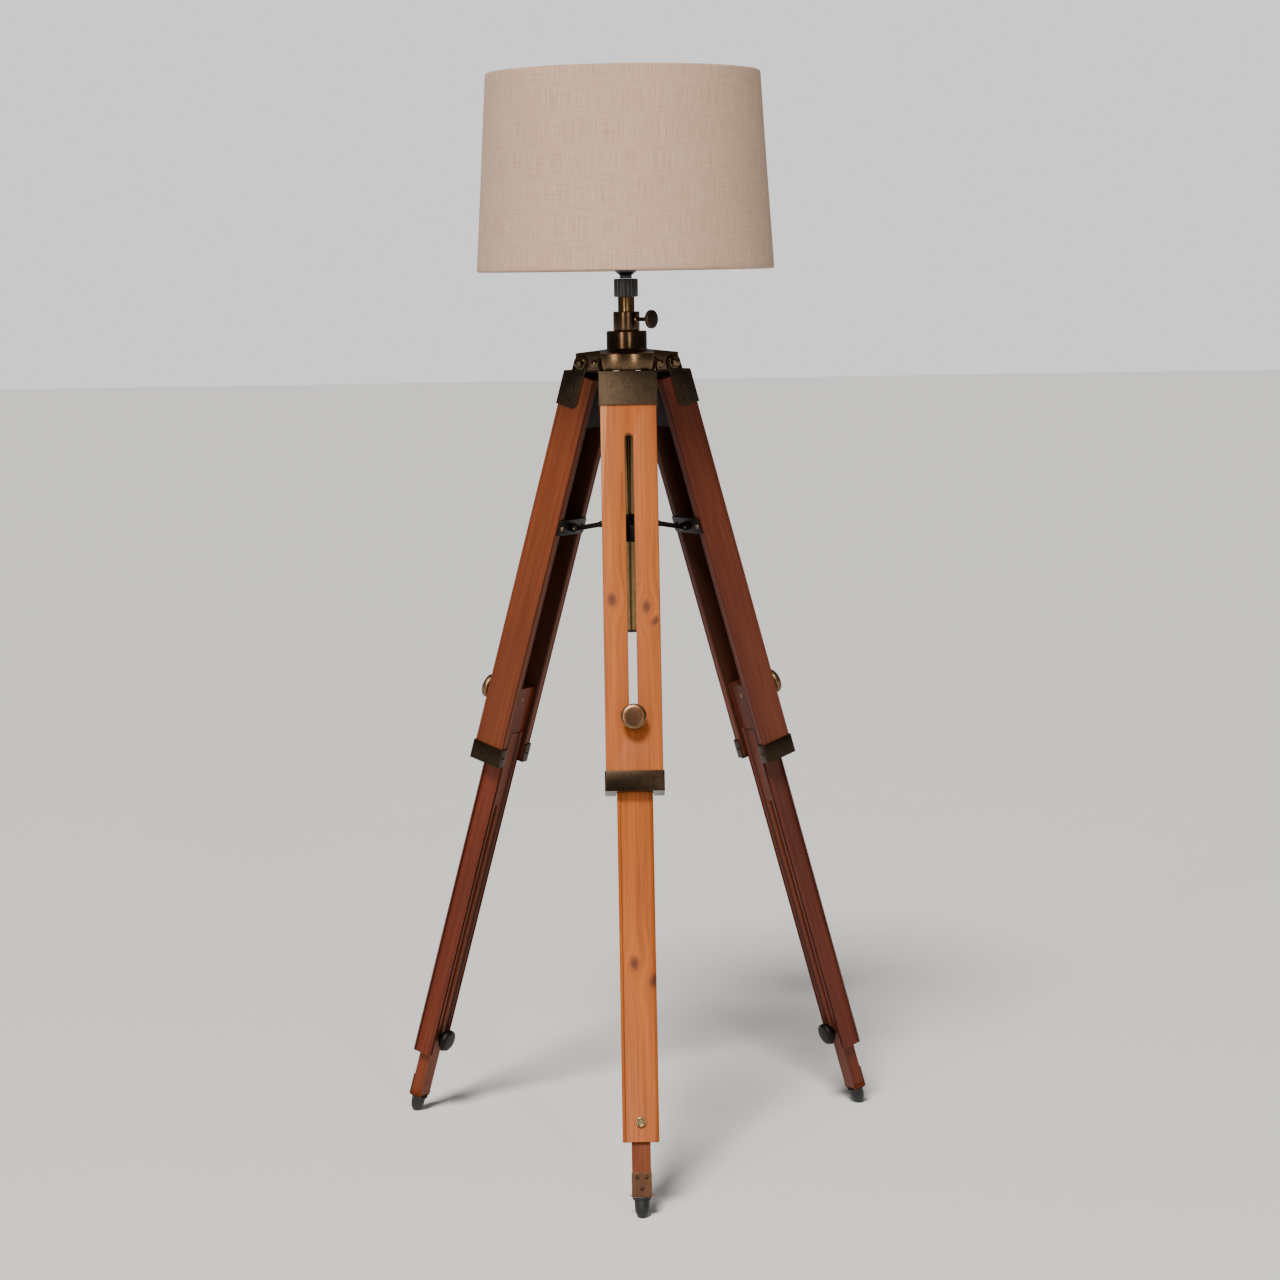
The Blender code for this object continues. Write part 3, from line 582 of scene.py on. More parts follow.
hingeBrass = metalFinish("hinge_brass", {"base": (0.16, 0.105, 0.055), "dark": (0.035, 0.025, 0.018),
                                         "rubbedAndHighlight": (0.42, 0.30, 0.16), "rough": 0.26, "brush": (300, 300,
                                                                                                300)},
                         wearAndHighlight=0.6)
shoeBronze = metalFinish("shoe_bronze", {**bronzeLook, "base": (0.115, 0.052, 0.030), "rough": 0.42,
                                         "dark": (0.050, 0.024, 0.016), "brush": (300, 300,
                                                                                  300)}, wearAndHighlight=0.25)
screwBrass = metalFinish("screw_brass", {"base": (0.34, 0.24, 0.12), "dark": (0.12, 0.08, 0.045),
                                         "rubbedAndHighlight": (0.62, 0.46, 0.24), "rough": 0.28, "brush": (300, 300,
                                                                                                300)})
steel = metalFinish("plated_wire", {"base": (0.42, 0.41, 0.39), "dark": (0.26, 0.25, 0.24),
                                    "rubbedAndHighlight": (0.6, 0.6, 0.58), "rough": 0.3, "brush": (200, 200, 200)})
blackMetal = metalFinish("blackened_metal",
                         {"base": (0.010, 0.009, 0.0085), "dark": (0.006, 0.0055, 0.0055),
                                             "rubbedAndHighlight": (0.07, 0.055, 0.045), "rough": 0.42,
                                             "brush": (300, 300, 300)}, metallic=0.85, wearAndHighlight=0.15)
blackPlastic = plasticFinish("black_moulding", (0.0055, 0.0055, 0.006), 0.32, 700)
rubber = plasticFinish("tip_rubber", (0.0035, 0.0038, 0.0042), 0.5, 500)
# Near-black finish for the channel filler: painted shade where the channel top lies in shadow
innerPaintedShade = plasticFinish("inner_painted_shade", (0.010, 0.0055, 0.004), 0.85, 260)
bulbGlass = glassFinish("frosted_bulb_glass")
print("finishes made")


# Head and pole

headShape = {
    "boss": 0.0305,
    "rim": 0.0250,  # heights over the underside
    "crown": 0.0305,
    "bossFillet": 0.0022,
    "rimFillet": 0.0011,
    "steps": 240,
    "lugHalf": 0.0408,
    "cornerPower": 54.0,  # higher is sharper
}


def makeHead(shape):
    low, high = extent("head_casting", centre)
    drum = high.x
    lug = shape["lugHalf"]
    bossRadius, rim, crown = shape["boss"], low.z + shape["rim"], low.z + shape["crown"]
    bore = poleHigh.x - axisX + 0.0003
    power = shape["cornerPower"]
    fillet, bossFillet = shape["rimFillet"], shape["bossFillet"]
    slope = (rim - crown) / (drum - bossRadius)

    def cone(radius):
        return crown + slope * (radius - bossRadius)

    bm = bmesh.new()
    steps = shape["steps"]
    columns = []
    for i in range(steps):
        angle = math.tau * i / steps
        away = min(abs((angle - math.radians(d) + math.pi) % math.tau - math.pi) for d in (-90, 30, 150))
        notch = lug / max(math.sin(away), 0.05)
        outer = (drum ** -power + notch ** -power) ** (-1 / power)
        run = outer - fillet - bossRadius
        profile = [(bore, high.z - 0.0010), (bore + 0.0010, high.z)]
        profile += arc((bossRadius - bossFillet, high.z - bossFillet), bossFillet, 90, 0, 6)
        profile += [(bossRadius, crown + 0.0012), (bossRadius + 0.0004, crown + 0.0004),
                    (bossRadius + 0.0012, cone(bossRadius + 0.0012))]
        profile += [(bossRadius + run * k / 4, cone(bossRadius + run * k / 4)) for k in range(1, 5)]
        profile += arc((outer - fillet, cone(outer) - fillet), fillet, 78, 0, 5)
        profile += arc((outer - fillet, low.z + fillet), fillet, 0, -90, 4)
        profile += [(bossRadius, low.z), (bore, low.z)]
        columns.append([bm.verts.new((r * math.cos(angle), r * math.sin(angle), z)) for r, z in profile])
    count = len(columns[0])
    for i in range(steps):
        this, following = columns[i], columns[(i + 1) % steps]
        for k in range(count):
            m = (k + 1) % count
            bm.faces.new((this[k], following[k], following[m], this[m]))
    addPiece("head_drum", meshFrom(bm, 32), "head", bronze, ["head_casting"], centre)


makeHead(headShape)

collarShape = {"fillet": 0.0018, "inner": 0.0458, "outer": 0.0518, "disc": 0.0142,
               "knurls": 40, "cut": 0.0005}


def makeCollar(shape):
    low, high = extent("pole_collar", centre)
    radius = high.x
    bore = poleHigh.x - axisX + 0.0003
    profile = softened([(bore, low.z - 0.0002), (bore, high.z, 0.0006), (radius, high.z, shape["fillet"]),
                        (radius, low.z + 0.0006, 0.0005), (radius - 0.0008, low.z - 0.0002)], 0.0005, 5)
    collar = lathe(profile, 96, closed=True)
    screw = joints["thumbscrew_turn"]
    outward = Vector((screw["axis"][0], screw["axis"][1], 0)).normalized()
    hub = Vector(screw["pos_m"]) - centre.translation
    if outward.y > 0:
        outward.negate()
    spot = Vector((0, 0, hub.z)) + outward * (radius - 0.0015)
    seat = pinAlong(spot, spot + outward * 0.0042, 0.0056, 32)
    addPiece("pole_collar_ring", joined(collar, seat), "head", bronze, ["pole_collar"], centre)

    turn = outward.to_track_quat("Z", "Y").to_matrix().to_4x4()
    place = centre @ Matrix.Translation((0, 0, hub.z)) @ turn
    inner, outer, big = shape["inner"], shape["outer"], shape["disc"]
    rows = [(big - 0.0030, outer, 0), (big - 0.0012, outer - 0.0003, 0), (big - 0.0002, outer - 0.0012, 1),
            (big, (inner + outer) / 2, 1), (big - 0.0002, inner + 0.0012, 1), (big - 0.0012,
                                                                               inner + 0.0003, 0),
            (big - 0.0030, inner, 0)]
    rim = knurledDisc(rows, shape["knurls"], shape["cut"], outer + 0.0002, inner)
    stem = lathe(softened([(0, inner + 0.0010), (0.0052, inner + 0.0008), (0.0050, inner - 0.0016),
                           (0.0031, inner - 0.0030), (0.0031, 0.0131), (0, 0.0131)], 0.0007), 32)
    addPiece("clamp_thumbscrew", joined(rim, stem, angle=40), "thumbscrew", darkBronze,
             ["thumbscrew"], place)


makeCollar(collarShape)

poleShape = {"wall": 0.0013, "ringFlutes": 16, "flute": 0.0011, "fillet": 0.0022}


def makePole(shape):
    low, high = extent("pole", centre)
    radius = high.x
    wall = shape["wall"]
    profile = softened([(radius - wall, high.z), (radius, high.z), (radius, low.z), (radius - wall, low.z)],
                       0.0003, 2, closed=True)
    addPiece("pole_tube", lathe(profile, 96, closed=True), "pole", brass, ["pole"], centre)
    low, high = extent("pole_gland", centre)
    profile = softened([(0.0045, high.z), (radius - wall - 0.0002, high.z),
                        (radius - wall - 0.0002, low.z + 0.0037, 0),
                        (radius, low.z + 0.0037), (radius, low.z, 0.0015), (0.0045,
                                                                            low.z)], 0.0004, 3, closed=True)
    addPiece("pole_end_bush", lathe(profile, 64, closed=True), "pole", blackPlastic,
             ["pole_gland"], centre)

    low, high = extent("holder_ring", centre)
    big, count, middle = high.x, shape["ringFlutes"] * 8, (low.z + high.z) / 2
    fillet = shape["fillet"]
    rows = [(radius + 0.0004, high.z - 0.0004, 0)]
    rows += [(r, z, 0.35 + 0.65 * k / 5) for k, (r, z) in
             enumerate(arc((big - fillet, high.z - fillet), fillet, 90, 0, 6))]
    rows += [(big, middle, 1)]
    rows += [(r, z, 1 - 0.65 * k / 5) for k, (r, z) in
             enumerate(arc((big - fillet, low.z + fillet), fillet, 0, -90, 6))]
    rows += [(radius + 0.0004, low.z + 0.0004, 0)]
    bm = bmesh.new()
    loops = [ringOf(bm, [r - deep * shape["flute"] * max(0.0, math.cos(math.tau * i / 8)) ** 2
                         for i in range(count)], z) for r, z, deep in rows]
    bridge(bm, loops + loops[:1])
    addPiece("holder_grip_ring", meshFrom(bm, 45), "pole", blackPlastic,
             ["holder_ring"], centre)

    low, high = extent("lampholder", centre)
    flare = softened([(0.0148, high.z), (0.0175, high.z, 0.0006), (0.0175, low.z + 0.0133, 0.0012),
                      (0.0160, low.z + 0.0098, 0.001), (0.0092, low.z + 0.0048, 0.0012), (0.0092, low.z),
                      (0.0050, low.z), (0.0050, low.z + 0.0152), (0.0148,
                                                                  low.z + 0.0172)], 0.0005, 4, closed=True)
    body = lathe(flare, 72, closed=True)
    threads = []
    for k in range(6):
        z = high.z - 0.0040 - k * 0.0050
        threads.append(lathe(arc((0.0174, z), 0.0007, 0, 330, 10), 72, closed=True))
    addPiece("lampholder_body", joined(body, *threads), "pole", blackPlastic,
             ["lampholder"], centre)
    low, high = extent("socket_insert", centre)
    shell = []
    for k in range(25):
        z = high.z - (high.z - low.z) * k / 24
        shell.append((0.0144 - 0.0004 * (k % 4 in (1, 2)), z))
    shell += [(r - 0.0006, z) for r, z in reversed(shell)]
    addPiece("screw_shell", lathe(shell, 60, closed=True), "pole", screwBrass,
             ["socket_insert"], centre)
    low, high = extent("shade_clamp_ring", centre)
    profile = softened([(0.0178, high.z), (0.0240, high.z, 0.0012), (0.0245, low.z), (0.0178, low.z)],
                       0.0006, 4, closed=True)
    clamp = lathe(profile, 84, closed=True)
    ribs = []
    for k in range(24):
        spin = Matrix.Rotation(math.tau * k / 24, 4, "Z")
        ribs.append((plate([roundRect((-0.0009, -0.0024), (0.0009, 0.0024), 0.0006)], 0.0014, 0.0004,
                           spin @ onSide(0.0243, 0, (low.z + high.z) / 2)), Matrix.Identity(4)))
    addPiece("shade_lock_ring", joined(clamp, *ribs), "pole", blackPlastic,
             ["shade_clamp_ring"], centre)

    low, high = extent("bulb_cap", centre)
    skirt = [(0, high.z)]
    for k in range(17):
        z = high.z - 0.0012 - 0.0260 * k / 16
        skirt.append((0.0131 - 0.0007 * (k % 4 in (1, 2)), z))
    skirt += [(0.0112, low.z + 0.0034), (0.0050, low.z), (0, low.z)]
    addPiece("bulb_screw_cap", lathe(skirt, 60), "pole", steel, ["bulb_cap"], centre)
    low, high = extent("bulb_glass", centre)
    globe = arc((0, high.z - 0.0300), 0.0300, 90, -38, 22)
    globe = [(max(r, 0.0), z) for r, z in globe]
    globe += softened([globe[-1], (0.0150, low.z + 0.0155), (0.0137, low.z + 0.0060), (0.0136, low.z)],
                      0.006, 5)[1:]
    addPiece("bulb_globe", lathe(globe + [(0, low.z)], 72), "pole", bulbGlass,
             ["bulb_glass"], centre)


makePole(poleShape)
print("head and pole made")


# Shade

shadeShape = {
    "cloth": 0.0011,
    "turnIn": 0.009,
    "wire": 0.0020,
    "sides": 288,
    "rows": 30,
    "seamWidth": 0.014,
    "ripple": 0.00022,
}


def ringTube(ring, height, radius, steps=216):
    return lathe(arc((ring, height), radius, 0, 330, 12), steps, closed=True)


def makeShade(shape):
    low, high = extent("shade_cover", centre)
    bottom, top = high.x, 0.0
    for vertex in nodes["shade_cover"].data.vertices:
        point = centre.inverted() @ vertex.co
        if point.z > high.z - 0.0005:
            top = max(top, math.hypot(point.x, point.y))
    cloth, wire = shape["cloth"], shape["wire"]
    roll = wire + cloth
    slope = (bottom - top) / (high.z - low.z)

    def wall(height):
        return bottom - slope * (height - low.z)

    upper = high.z - roll
    lower = low.z + roll
    line = [(wall(upper) - 2 * roll + 0.0012, upper - shape["turnIn"])]
    line += [(wall(upper) - roll + roll * math.cos(a), upper + roll * math.sin(a))
             for a in [math.radians(180 - 180 * k / 10) for k in range(11)]]
    line += [(wall(upper + (lower - upper) * k / shape["rows"]),
              upper + (lower - upper) * k / shape["rows"])
             for k in range(1, shape["rows"])]
    line += [(wall(lower) - roll + roll * math.cos(a), lower + roll * math.sin(a))
             for a in [math.radians(-180 * k / 10) for k in range(11)]]
    line += [(wall(lower) - 2 * roll + 0.0012, lower + shape["turnIn"])]
    innerLine = [(x, z) for x,
                 z in inset(line + [(line[-1][0] - 0.02, line[-1][1]), (line[0][0] - 0.02, line[0][1])],
                            cloth)][:len(line)]
    innerLine[0] = (line[0][0] + cloth, line[0][1])
    innerLine[-1] = (line[-1][0] + cloth, line[-1][1])
    profile = line + innerLine[::-1]
    bm = bmesh.new()
    steps = shape["sides"]
    loops = []
    for r, z in profile:
        share = max(0.0, min(1.0, (z - low.z) / (high.z - low.z)))
        soft = math.sin(math.pi * share) * shape["ripple"]
        radii = [r - soft * (1 + math.sin(7 * a + 3 * share) * 0.6 + math.sin(13 * a - 5 * share) * 0.4)
                 for a in [math.tau * i / steps for i in range(steps)]]
        loops.append(ringOf(bm, radii, z))
    bridge(bm, loops + loops[:1])
    linen = linenFinish("natural_linen", linenLook, (bottom + top) / 2)
    cover = addPiece("linen_cover", meshFrom(bm, 60), "pole", linen, ["shade_cover"], centre)

    seamHalf = shape["seamWidth"] / 2
    strip = bmesh.new()
    columns = 5
    rows = 24
    faces = {}
    for layer, lift in ((0, 0.0004), (1, -0.0003)):
        for k in range(rows + 1):
            z = low.z + 0.0006 + (high.z - low.z - 0.0012) * k / rows
            for c in range(columns):
                share = c / (columns - 1) * 2 - 1
                a = math.pi / 2 + share * seamHalf / bottom
                r = wall(z) + (lift if abs(share) < 0.99 or layer else -0.0001)
                faces[layer, k, c] = strip.verts.new((r * math.cos(a), r * math.sin(a), z))
    for k in range(rows):
        for c in range(columns - 1):
            for layer in (0, 1):
                strip.faces.new((faces[layer, k, c], faces[layer, k, c + 1], faces[layer, k + 1, c + 1],
                                 faces[layer, k + 1, c]))
        for c in (0, columns - 1):
            strip.faces.new((faces[0, k, c], faces[0, k + 1, c], faces[1, k + 1, c], faces[1, k, c]))
    for k in (0, rows):
        for c in range(columns - 1):
            strip.faces.new((faces[0, k, c], faces[0, k, c + 1], faces[1, k, c + 1], faces[1, k, c]))
    seam = addPiece("linen_back_seam", meshFrom(strip, 50), "pole", linen, [], centre)

    ring = ringTube(wall(upper) - roll, upper, wire * 0.98)
    addPiece("top_wire", ring, "pole", steel, ["shade_top_ring"], centre)
    fitLow = extent("shade_clamp_ring", centre)[0]
    plane = fitLow.z - 0.0003
    parts = [ringTube(wall(lower) - roll, lower, wire * 0.98),
             lathe(softened([(0.0179, plane), (0.0262, plane), (0.0262, plane - 0.0024),
                             (0.0179, plane - 0.0024)],
                            0.0008, 3, closed=True), 72, closed=True)]
    for k in range(3):
        a = math.radians(30 + 120 * k)
        across = Vector((math.cos(a), math.sin(a), 0))
        bend = across * 0.052 + Vector((0, 0, plane - 0.0014))
        start = across * 0.0245 + Vector((0, 0, plane - 0.0012))
        end = across * (wall(lower) - roll) + Vector((0, 0, lower))
        parts += [pinAlong(start, bend, 0.0016, 16), pinAlong(bend, end, 0.0016, 16)]
        knee = lathe(softened([(0, 0.0017), (0.0017, 0.0), (0, -0.0017)], 0.0012, 6), 12)
        parts.append((knee, Matrix.Translation(bend)))
    addPiece("wire_spider", joined(*parts), "pole", steel, ["shade_spider"], centre)


makeShade(shadeShape)
print("shade made")


# Spreader

spreaderShape = {"cheek": 0.0025, "pinRadius": 0.0016, "strutHalf": 0.0035}


def makeHub(shape):
    low, high = extent("spreader_hub", centre)
    middle = (low.z + high.z) / 2
    bore = poleHigh.x - axisX + 0.0004
    parts = [lathe(softened([(bore, high.z), (0.0175, high.z, 0.0015), (0.0175, middle + 0.0090, 0.0006),
                             (0.0166, middle + 0.0080, 0.0006), (0.0166, middle - 0.0080, 0.0006),
                             (0.0175, middle - 0.0090, 0.0006), (0.0175, low.z, 0.0015), (bore, low.z)],
                            0.0004, 4, closed=True), 72, closed=True)]
    for side in sides:
        turn = centre.inverted() @ turns[side]
        reach = shape["strutHalf"] + shape["cheek"] + 0.0016
        out = 0.034
        for hand in (-1, 1):
            x = hand * (shape["strutHalf"] + 0.0004 + shape["cheek"] / 2)
            ear = [(-0.0150, middle - 0.0055), *arc((-out, middle), 0.0055, 270, 90, 13),
                   (-0.0150, middle + 0.0055)]
            parts.append(plate([ear], shape["cheek"], 0.0006, turn @ onSide(x, 0, 0)))
        pin, place = pinAlong((-reach, -out, middle), (reach, -out, middle), shape["pinRadius"], 20)
        parts.append((pin, turn @ place))
    addPiece("spreader_collar", joined(*parts), "spreader_hub", blackMetal,
             ["spreader_hub"], centre)


makeHub(spreaderShape)


def makeStrut(side, shape):
    swing = joints["strut_swing_" + side]
    pivot = Vector(swing["pos_m"])
    across = Vector(swing["axis"]).normalized()
    hubLow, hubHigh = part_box("spreader_hub")
    target = Vector((axisX, axisY, (hubLow.z + hubHigh.z) / 2))
    outward = (Vector((pivot.x - axisX, pivot.y - axisY, 0))).normalized()
    target = target + outward * 0.034
    along = (target - pivot).normalized()
    place = Matrix.Translation(pivot) @ Matrix((across, along, across.cross(along))).transposed().to_4x4()
    length = (target - pivot).length
    half, eye, slot = 0.0038, 0.0054, 0.0130
    shapePoints = [*arc((0, 0), eye, 45, 315, 17), (0.0090, -half), (length - slot - 0.008, -half),
                   (length - slot, -eye), *arc((length, 0), eye, -90, 90, 13), (length - slot, eye),
                   (length - slot - 0.008, half), (0.0090, half)]
    holes = [circle((0, 0), shape["pinRadius"] + 0.0003, 20),
             [*arc((length + 0.0002, 0), 0.0034, -90, 90, 11),
              *arc((length - slot, 0), 0.0034, 90, 270, 11)]]
    bar = plate([shapePoints, *holes], 2 * shape["strutHalf"], 0.0008, onSide(0, 0, 0))
    addPiece("spreader_bar_" + side, bar, "strut_" + side, blackMetal, ["strut_" + side], place)


for side in sides:
    makeStrut(side, spreaderShape)
print("spreader made")


# Legs

legShape = {
    "woodEdge": 0.0009,
    "sheet": 0.0020,
    "metalEdge": 0.0006,
    "board": 0.0150,
    "rail": 0.0155,
}
# Tints below one are darker copies of the same wood; on the left and right legs they are painted shade for faces
# turned from the light
woods = {
    ("front", "upper"): woodFinish("front_board_wood", (3.1, 1.7, 0.4),
                                   knots=[(-0.0290, 0.366, 0.0050), (0.0215, 0.377, 0.0046),
                                          (0.0297, 0.398, 0.0036)],
                                   stains=[(-0.0115, 0.208, 0.0035, 0.05, 0.55),
                                           (-0.016, 0.30, 0.004, 0.09, 0.25)],
                                   sapwood={"edge": -0.0415, "start": 0.066, "end": 0.235, "width": 0.0105},
                                   paintedShadeZone=(0.0262, -0.0082, 0.0)),
    ("front", "middle"): woodFinish("front_middle_wood", (8.3, 4.1, 2.6), (1.0, 1.0, 1.0),
                                    knots=[(-0.0052, 0.899, 0.0050), (0.0186, 0.925, 0.0050)],
                                    stains=[(0.004, 0.85, 0.006, 0.12, 0.25)],
                                   paintedShadeZone=(0.0152, -0.0011, 0.600)),
    ("front", "lower"): woodFinish("front_slider_wood", (1.3, 9.4, 5.2), (0.46, 0.42, 0.60)),
    ("left", "upper"): woodFinish("left_leg_wood", (12.7, 3.8, 7.7), (0.44, 0.41, 0.95),
                                   paintedShadeZone=(0.0262, -0.0082, 0.0)),
    ("left", "middle"): woodFinish("left_middle_wood", (6.6, 13.2, 1.9), (0.34, 0.26, 0.85),
                                   paintedShadeZone=(0.0152, -0.0011, 0.600)),
    ("left", "lower"): woodFinish("left_slider_wood", (15.2, 2.3, 9.1), (0.42, 0.36, 0.8)),
    ("right", "upper"): woodFinish("right_leg_wood", (4.9, 17.7, 3.3), (0.36, 0.33, 1.15),
                                   stains=[(0.040, 0.33, 0.05, 0.20, 0.5)],
                                   paintedShadeZone=(0.0262, -0.0082, 0.0)),
    ("right", "middle"): woodFinish("right_middle_wood", (19.1, 5.6, 8.8), (0.27, 0.24, 1.05),
                                   paintedShadeZone=(0.0152, -0.0011, 0.600)),
    ("right", "lower"): woodFinish("right_slider_wood", (7.4, 11.8, 6.1), (0.36, 0.30, 0.9)),
}


def makeUpper(side, matrix, shape):
    low, high = extent("upper_board_" + side, matrix)
    railHigh = extent("upper_rail_a_" + side, matrix)[1]
    studLow, studHigh = extent("upper_knob_" + side, matrix)
    stud = (studLow.z + studHigh.z) / 2
    wide, outer, inner = high.x, low.y, railHigh.y
    travel = joints["middle_slide_" + side]["range_m"][1]
    slotHalf = 0.0063
    slotEnds = (stud + travel + 0.0062, stud - 0.0065)
    slot = stadium((0, sum(slotEnds) / 2), (slotEnds[0] - slotEnds[1]) / 2 - slotHalf, slotHalf, 15)
    face = roundRect((-wide, low.z), (wide, high.z), 0.0012)
    board = plate([face, slot], shape["board"], shape["woodEdge"], onFace(0, outer + shape["board"] / 2, 0))
    parts = [board]
    edge = shape["woodEdge"]
    for hand in (-1, 1):
        near, far = sorted((hand * (wide - shape["rail"]), hand * (wide + 0.00005)))
        section = roundRect((near, outer + edge), (far, inner), edge + 0.0002, 3)
        parts.append(plate([section], high.z - low.z - 0.0001, edge,
                           Matrix.Translation((0, 0, (low.z + high.z) / 2))))
    filler = roundRect((shape["rail"] - wide - 0.0010, outer + shape["board"] - 0.002),
                       (wide - shape["rail"] + 0.0010, inner - 0.0035), 0.0008, 3)
    fillerLength = high.z + 0.096
    block = plate([filler], fillerLength, 0.0006,
                  Matrix.Translation((0, 0, high.z - fillerLength / 2 - 0.0003)))
    # The filler takes the near-black finish as painted shade
    addPiece("upper_filler_" + side, block, "leg_" + side, innerPaintedShade, ["upper_board_" + side],
             matrix)
    addPiece("upper_leg_" + side, joined(*parts, angle=30), "leg_" + side, woods[side, "upper"],
             ["upper_board_" + side, "upper_rail_a_" + side, "upper_rail_b_" + side], matrix)


def makeMiddle(side, matrix, shape):
    low, high = extent("middle_stage_" + side, matrix)
    wide, outer, inner = high.x, low.y, high.y
    wall, front, blockEnd = 0.0094, 0.0064, -0.600
    edge = shape["woodEdge"]
    channel = softened([(-wide, outer), (wide, outer), (wide, inner), (wide - wall, inner),
                        (wide - wall, outer + front, 0.0004),
                        (wall - wide, outer + front, 0.0004), (wall - wide, inner), (-wide,
                                                                                     inner)], edge, 3, closed=True)
    block = roundRect((-wide, outer), (wide, inner), edge, 3)
    parts = [plate([channel], blockEnd - low.z + 0.001, edge,
                   Matrix.Translation((0, 0, (blockEnd + low.z + 0.001) / 2))),
             plate([inset(block, 0.00004)], high.z - blockEnd, edge,
                   Matrix.Translation((0, 0, (high.z + blockEnd) / 2)))]
    addPiece("middle_leg_" + side, joined(*parts, angle=30), "middle_" + side,
             woods[side, "middle"],
             ["middle_stage_" + side], matrix)
    low, high = extent("lower_bolt_" + side, matrix)
    at = (low.z + high.z) / 2
    x = (low.x + high.x) / 2
    head = screwHead(0.0062, 0.0030)
    facing = onFace(x, outer, at)
    shank, place = pinAlong((x, outer + 0.001, at), (x, high.y, at), 0.0030)
    washer = lathe(softened([(0.0030, 0.0007), (0.0074, 0.0007), (0.0074, 0), (0.0030, 0)], 0.0003, 3,
                            closed=True), 40, closed=True)
    turn = turned(20, "Z")
    addPiece("stage_bolt_" + side,
             joined((head, facing @ turn @ Matrix.Translation((0, 0, 0.0003))), (washer, facing),
                                          (shank, place)), "middle_" + side,
             screwBrass, ["lower_bolt_" + side], matrix)


def makeLower(side, matrix, shape):
    low, high = extent("lower_stage_" + side, matrix)
    boltLow, boltHigh = extent("lower_bolt_" + side, matrix)
    bolt = (boltLow.z + boltHigh.z) / 2
    wide, outer, inner = high.x, low.y, high.y
    travel = joints["lower_slide_" + side]["range_m"][1]
    slotHalf = 0.0036
    ends = (bolt + travel + slotHalf, bolt - slotHalf)
    slot = stadium((0, sum(ends) / 2), (ends[0] - ends[1]) / 2 - slotHalf, slotHalf, 13)
    face = roundRect((-wide, low.z), (wide, high.z), 0.001)
    board = plate([face, slot], inner - outer, shape["woodEdge"], onFace(0, (outer + inner) / 2, 0))
    addPiece("lower_leg_" + side, board, "lower_" + side, woods[side, "lower"],
             ["lower_stage_" + side], matrix)

    pLow, pHigh = extent("foot_plate_" + side, matrix)
    thick = 0.0012
    plateFace = plate([roundRect((pLow.x, pLow.z), (pHigh.x, pHigh.z), 0.0014)], thick, 0.0004,
                      onFace(0, pLow.y + thick / 2, 0))
    lip = plate([roundRect((pLow.x, pLow.y + 0.0005), (pHigh.x, pHigh.y), 0.0010)], 0.0011, 0.0004,
                Matrix.Translation((0, 0, pLow.z + 0.00055)))
    addPiece("foot_shoe_" + side, joined(plateFace, lip), "lower_" + side, shoeBronze,
             ["foot_plate_" + side], matrix)
    rivets = []
    tall = pHigh.z - pLow.z
    for x, up in ((-0.0062, 0.80), (0.0068, 0.79), (0.0004, 0.34)):
        dome = lathe(softened([(0, 0.0015), (0.0022, 0.0013), (0.0030, 0)], 0.0012, 5) + [(0, 0)], 28)
        rivets.append((dome, onFace(x, pLow.y, pLow.z + tall * up)))
    addPiece("foot_rivets_" + side, joined(*rivets), "lower_" + side, darkBronze, [], matrix)

    tLow, tHigh = extent("foot_tip_" + side, matrix)
    middle = (tLow.y + tHigh.y) / 2
    bottom = tLow.z
    profile = [(0, tHigh.z), (0.0122, tHigh.z), (0.0135, tHigh.z - 0.0008), (0.0135, tHigh.z - 0.0022),
               (0.0128, tHigh.z - 0.0030), (0.0110, tHigh.z - 0.0034)]
    profile += softened([(0.0110, tHigh.z - 0.0034), (0.0106, tHigh.z - 0.0150), (0.0084, bottom + 0.0062),
                         (0.0050, bottom + 0.0016)], 0.004, 6)[1:]
    profile += [(0.0034, bottom + 0.0004), (0.0016, bottom + 0.00008), (0, bottom)]
    tip = lathe(profile, 64)
    floorUp = matrix.inverted().to_3x3() @ Vector((0, 0, 1))
    base = matrix.inverted() @ Vector((matrix.translation.x, matrix.translation.y, 0.0))
    bm = bmesh.new()
    bm.from_mesh(tip)
    bmesh.ops.translate(bm, verts=bm.verts, vec=(0, middle, 0))
    cutAway = bmesh.ops.bisect_plane(bm, geom=bm.verts[:] + bm.edges[:] + bm.faces[:], plane_co=base,
                                     plane_no=floorUp, clear_inner=True)
    edges = [item for item in cutAway["geom_cut"] if isinstance(item, bmesh.types.BMEdge)]
    if edges:
        bmesh.ops.edgeloop_fill(bm, edges=edges)
    addPiece("foot_end_" + side, meshFrom(bm, 40), "lower_" + side, rubber,
             ["foot_tip_" + side], matrix)


